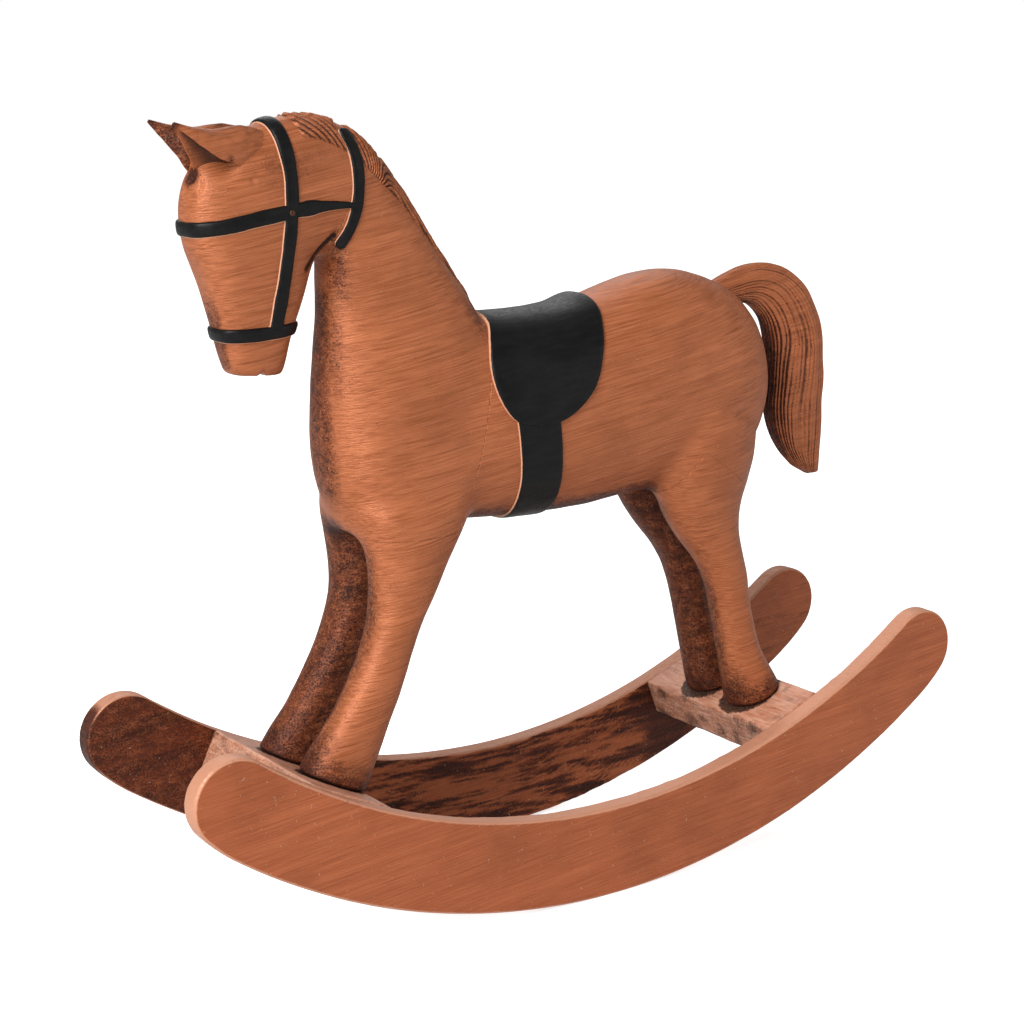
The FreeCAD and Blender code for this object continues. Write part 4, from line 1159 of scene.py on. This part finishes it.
# ---------------------------------------------------------------- materials
class Graph:
    """Short names for building a node material."""

    def __init__(self, name):
        self.material = bpy.data.materials.new(name)
        self.material.use_nodes = True
        self.tree = self.material.node_tree
        self.shader = self.tree.nodes["Principled BSDF"]
        self.place = self.node("ShaderNodeTexCoord").outputs["Object"]

    def node(self, kind, **settings):
        made = self.tree.nodes.new(kind)
        for key, value in settings.items():
            setattr(made, key, value)
        return made

    def link(self, value, socket):
        if isinstance(value, bpy.types.NodeSocket):
            self.tree.links.new(value, socket)
        else:
            socket.default_value = value

    def stretch(self, scale, turn=0.0):
        """Object coordinates turned about Y, then scaled, so that streaks rise at the turn's angle."""
        turned = self.node("ShaderNodeMapping")
        self.link(self.place, turned.inputs["Vector"])
        turned.inputs["Rotation"].default_value = (0, turn, 0)
        made = self.node("ShaderNodeMapping")
        self.link(turned.outputs[0], made.inputs["Vector"])
        made.inputs["Scale"].default_value = scale
        return made.outputs[0]

    def noise(self, vector, scale=1.0, detail=3.0, rough=0.55, bend=0.0):
        made = self.node("ShaderNodeTexNoise")
        self.link(vector, made.inputs["Vector"])
        made.inputs["Scale"].default_value = scale
        made.inputs["Detail"].default_value = detail
        made.inputs["Roughness"].default_value = rough
        made.inputs["Distortion"].default_value = bend
        return made.outputs["Fac"]

    def math(self, kind, a, b=0.0, c=0.0, clamp=False):
        made = self.node("ShaderNodeMath", operation=kind, use_clamp=clamp)
        for value, socket in zip((a, b, c), made.inputs):
            self.link(value, socket)
        return made.outputs[0]

    def times(self, a, b):
        return self.math("MULTIPLY", a, b)

    def plus(self, a, b, clamp=False):
        return self.math("ADD", a, b, clamp=clamp)

    def minus(self, a, b):
        return self.math("SUBTRACT", a, b)

    def ramp(self, value, low, high, out_low=0.0, out_high=1.0):
        made = self.node("ShaderNodeMapRange", interpolation_type="SMOOTHSTEP")
        self.link(value, made.inputs["Value"])
        made.inputs["From Min"].default_value = low
        made.inputs["From Max"].default_value = high
        made.inputs["To Min"].default_value = out_low
        made.inputs["To Max"].default_value = out_high
        return made.outputs["Result"]

    def mix(self, share, a, b):
        made = self.node("ShaderNodeMix", data_type="RGBA")
        self.link(share, made.inputs["Factor"])
        self.link(a if isinstance(a, bpy.types.NodeSocket) else (*a, 1.0), made.inputs[6])
        self.link(b if isinstance(b, bpy.types.NodeSocket) else (*b, 1.0), made.inputs[7])
        return made.outputs[2]

    def attribute(self, name):
        return self.node("ShaderNodeAttribute", attribute_name=name).outputs["Fac"]

    def bump(self, height, strength, distance):
        made = self.node("ShaderNodeBump")
        made.inputs["Strength"].default_value = strength
        made.inputs["Distance"].default_value = distance
        self.link(height, made.inputs["Height"])
        return made.outputs["Normal"]

    def finish(self, colour, rough, normal):
        for key, value in (("Base Color", colour), ("Roughness", rough), ("Normal", normal)):
            self.link(value, self.shader.inputs[key])
        return self.material


def scaled(share, colour):
    return tuple(share * c for c in colour)


def copper_paint(name, mid, light, dark, streak_scale=(50, 380, 2500), metal=0.25, turn=0.17,
                 nib_shine=0.12):
    """Brushed copper paint with a dark glaze and painted shade where patina is high, and bare wear,
    partly a painted highlight, along the edges.
    """
    g = Graph(name)
    glaze_and_shade_level = g.attribute("patina")
    edge = g.attribute("edge")
    groove = g.attribute("rim")
    streak = g.noise(g.stretch(streak_scale, turn), 1.0, 2.0, 0.55)
    drawn = g.noise(g.stretch((12, 60, 320), turn), 1.0, 4.0, 0.6)
    cloud = g.noise(g.place, 34.0, 4.0, 0.6)
    smear = g.noise(g.stretch((220, 420, 420)), 1.0, 5.0, 0.72, 0.3)
    grit = g.noise(g.place, 1700.0, 2.0, 0.6)
    colour = g.mix(g.ramp(streak, 0.32, 0.72), mid, light)
    colour = g.mix(g.ramp(streak, 0.40, 0.26, 0.0, 0.42), colour, scaled(0.5, mid))
    colour = g.mix(g.ramp(drawn, 0.48, 0.80, 0.0, 0.42), colour, scaled(1.3, light))
    colour = g.mix(g.ramp(cloud, 0.42, 0.75, 0.0, 0.45), colour, scaled(0.62, mid))
    # antique glaze and painted shade: thickest where patina is high, broken up by the brush and the grit
    spread = g.times(glaze_and_shade_level, g.minus(1.25, glaze_and_shade_level))
    broken = g.plus(g.minus(smear, 0.5), g.times(g.minus(grit, 0.5), 0.8))
    amount = g.plus(glaze_and_shade_level, g.times(g.times(broken, spread), 3.2), clamp=True)
    deep = g.mix(g.ramp(drawn, 0.38, 0.66), dark, scaled(0.35, dark))
    colour = g.mix(g.ramp(amount, 0.05, 0.85, 0.0, 0.97), colour, deep)
    # fine black specks
    need = g.minus(0.74, g.times(glaze_and_shade_level, 0.25))
    specks = g.ramp(g.minus(grit, need), 0.0, 0.06)
    colour = g.mix(g.times(specks, 0.8), colour, (0.012, 0.006, 0.005))
    in_groove = g.ramp(g.plus(groove, g.times(smear, 0.4)), 0.42, 1.05, 0.0, 0.9)
    colour = g.mix(in_groove, colour, (0.030, 0.010, 0.006))
    # light worn paint along the edges, partly a painted edge highlight
    edge_wear_and_highlight = g.minus(g.plus(edge, g.times(smear, 0.7)), g.times(glaze_and_shade_level, 0.8))
    colour = g.mix(g.ramp(edge_wear_and_highlight, 0.72, 1.15, 0.0, 0.72), colour, (0.60, 0.30, 0.19))
    # raised nibs in the paint, made lighter in colour: a painted glint on the grit
    nib = g.ramp(g.noise(g.place, 780.0, 1.0, 0.5), 0.72, 0.77)
    colour = g.mix(g.times(nib, nib_shine), colour, (0.62, 0.34, 0.22))
    rough = g.ramp(g.plus(streak, g.times(glaze_and_shade_level, 0.25)), 0.3, 1.0, 0.40, 0.62)
    height = g.plus(g.times(streak, 0.9), g.times(grit, 0.3))
    height = g.minus(height, g.times(specks, 0.3))
    height = g.plus(height, g.times(g.times(smear, glaze_and_shade_level), 1.2))
    height = g.plus(height, g.times(nib, 0.8))
    g.shader.inputs["Metallic"].default_value = metal
    g.shader.inputs["Specular IOR Level"].default_value = 0.24
    return g.finish(colour, rough, g.bump(height, 0.75, 0.00035))


def black_satin(name):
    """Brushed black paint, worn through to the copper where rim is high."""
    g = Graph(name)
    rim = g.attribute("rim")
    brush = g.noise(g.stretch((120, 500, 500), 0.1), 1.0, 3.0, 0.6)
    grit = g.noise(g.place, 900.0, 2.0, 0.5)
    ragged = g.noise(g.place, 420.0, 3.0, 0.7)
    colour = g.mix(g.ramp(brush, 0.3, 0.75), (0.002, 0.002, 0.002), (0.005, 0.005, 0.005))
    bare = g.ramp(g.plus(rim, g.times(g.minus(ragged, 0.5), 0.9)), 0.5, 0.7)
    colour = g.mix(bare, colour, (0.56, 0.28, 0.17))
    g.shader.inputs["Specular IOR Level"].default_value = 0.16
    height = g.plus(g.times(brush, 0.7), g.times(grit, 0.3))
    return g.finish(colour, g.ramp(grit, 0.3, 0.8, 0.36, 0.52), g.bump(height, 0.35, 0.0003))


def plain_metal(name, colour, metal_scale):
    g = Graph(name)
    wear = g.noise(g.place, metal_scale, 3.0, 0.6)
    g.shader.inputs["Metallic"].default_value = 0.85
    return g.finish(g.mix(g.ramp(wear, 0.35, 0.7), colour, scaled(0.5, colour)),
                    g.ramp(wear, 0.3, 0.8, 0.35, 0.6), g.bump(wear, 0.3, 0.0002))


def bare_wood(name):
    g = Graph(name)
    grain = g.noise(g.stretch((60, 60, 500)), 1.0, 4.0, 0.6, 0.4)
    return g.finish(g.mix(g.ramp(grain, 0.3, 0.7), (0.60, 0.42, 0.25), (0.38, 0.24, 0.13)),
                    g.ramp(grain, 0.3, 0.7, 0.55, 0.75), g.bump(grain, 0.4, 0.0003))


# dark colour of the antique glaze, also used for painted shade
DARK_GLAZE_AND_SHADE = (0.085, 0.016, 0.005)
MATERIALS = {
    "copper_painted_wood": copper_paint("copper_painted_wood", (0.295, 0.083, 0.028),
                                        (0.42, 0.135, 0.055), DARK_GLAZE_AND_SHADE),
    "weathered_board_wood": copper_paint("weathered_board_wood", (0.46, 0.185, 0.105),
                                         (0.60, 0.32, 0.22), (0.105, 0.045, 0.026),
                                         (900, 130, 900), 0.0, 0.0),
    "black_satin_tack": black_satin("black_satin_tack"),
    "copper_stud": plain_metal("copper_stud", (0.10, 0.042, 0.026), 900.0),
    "screw_steel": plain_metal("screw_steel", (0.55, 0.55, 0.57), 700.0),
    "dowel_wood": bare_wood("dowel_wood"),
}
RUNNER_PAINT = copper_paint("runner_copper_paint", (0.315, 0.078, 0.026), (0.40, 0.116, 0.044),
                            DARK_GLAZE_AND_SHADE, (45, 380, 2300), 0.2, 0.10, 0.35)


def give(ob, material):
    ob.data.materials.clear()
    ob.data.materials.append(material)


for name, ob in PIECES.items():
    slot_name = SLOTS.get(name, "black_satin_tack")
    mesh = ob.data
    co = coords(mesh)
    set_attribute(mesh, "patina", patina(name, co, normals(mesh)))
    for key in ("rim", "edge"):
        if key not in mesh.attributes:
            set_attribute(mesh, key, np.zeros(len(co)))
    give(ob, RUNNER_PAINT if name.startswith("rocker_runner") else MATERIALS[slot_name])
    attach(ob, "root")
    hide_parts(*REPLACED[name])

record_slots = {part["node"]: part.get("material_slot") for part in frame["record"].get("subparts", [])}
for name, ob in NODES.items():
    if not ob.hide_render:
        give(ob, MATERIALS[record_slots.get(name) or "dowel_wood"])


# -------------------------------------------------------------- floor, light
REACH = 3000
floor = add_object("studio_floor", mesh_from(
    "studio_floor", [(-REACH, -REACH, 0), (REACH, -REACH, 0), (REACH, REACH, 0), (-REACH, REACH, 0)],
    [(0, 1, 2, 3)]))
floor_paint = Graph("studio_floor")
floor_paint.shader.inputs["Base Color"].default_value = (0.80, 0.80, 0.80, 1.0)
floor_paint.shader.inputs["Roughness"].default_value = 0.9
floor_paint.shader.inputs["Emission Color"].default_value = (1.0, 1.0, 1.0, 1.0)
floor_seen = floor_paint.node("ShaderNodeLightPath").outputs["Is Camera Ray"]
# the camera sees a white floor, which lights nothing
floor_paint.link(floor_paint.times(floor_seen, 0.75), floor_paint.shader.inputs["Emission Strength"])
give(floor, floor_paint.material)

world = bpy.data.worlds.new("studio")
SCENE.world = world
world.use_nodes = True
sky = world.node_tree.nodes["Background"]
seen = world.node_tree.nodes.new("ShaderNodeLightPath")
level = world.node_tree.nodes.new("ShaderNodeMapRange")
world.node_tree.links.new(seen.outputs["Is Camera Ray"], level.inputs["Value"])
level.inputs["To Min"].default_value = 0.41   # light that falls on the horse
level.inputs["To Max"].default_value = 1.0    # what the camera sees
world.node_tree.links.new(level.outputs["Result"], sky.inputs["Strength"])
sky.inputs["Color"].default_value = (1.0, 1.0, 1.0, 1.0)
SCENE.view_settings.view_transform = "Standard"

TARGET = Vector((0.0, 0.0, 0.125))


def area_light(name, place, size, power):
    data = bpy.data.lights.new(name, "AREA")
    data.shape = "SQUARE"
    data.size = size
    data.energy = power
    ob = bpy.data.objects.new(name, data)
    ob.location = place
    ob.rotation_euler = (TARGET - Vector(place)).to_track_quat("-Z", "Y").to_euler()
    SCENE.collection.objects.link(ob)


area_light("key", (-1.15, -0.55, 0.95), 0.75, 29.0)
area_light("fill", (0.9, -1.0, 0.5), 1.0, 2.5)
area_light("back", (0.5, 1.2, 1.1), 1.0, 5.0)

# ------------------------------------------------------------------- camera
AZIMUTH, PITCH = math.radians(-34.95), math.radians(13.135)
camera_data = bpy.data.cameras.new("camera")
camera_data.lens = 78.586
camera_data.sensor_width = 36.0
camera = bpy.data.objects.new("camera", camera_data)
camera.location = (-0.41749, -0.57857, 0.28688)
forward = Vector((-math.sin(AZIMUTH) * math.cos(PITCH), math.cos(AZIMUTH) * math.cos(PITCH),
                  -math.sin(PITCH)))
camera.rotation_euler = forward.to_track_quat("-Z", "Y").to_euler()
SCENE.collection.objects.link(camera)
SCENE.camera = camera

bpy.data.meshes.remove(horse)
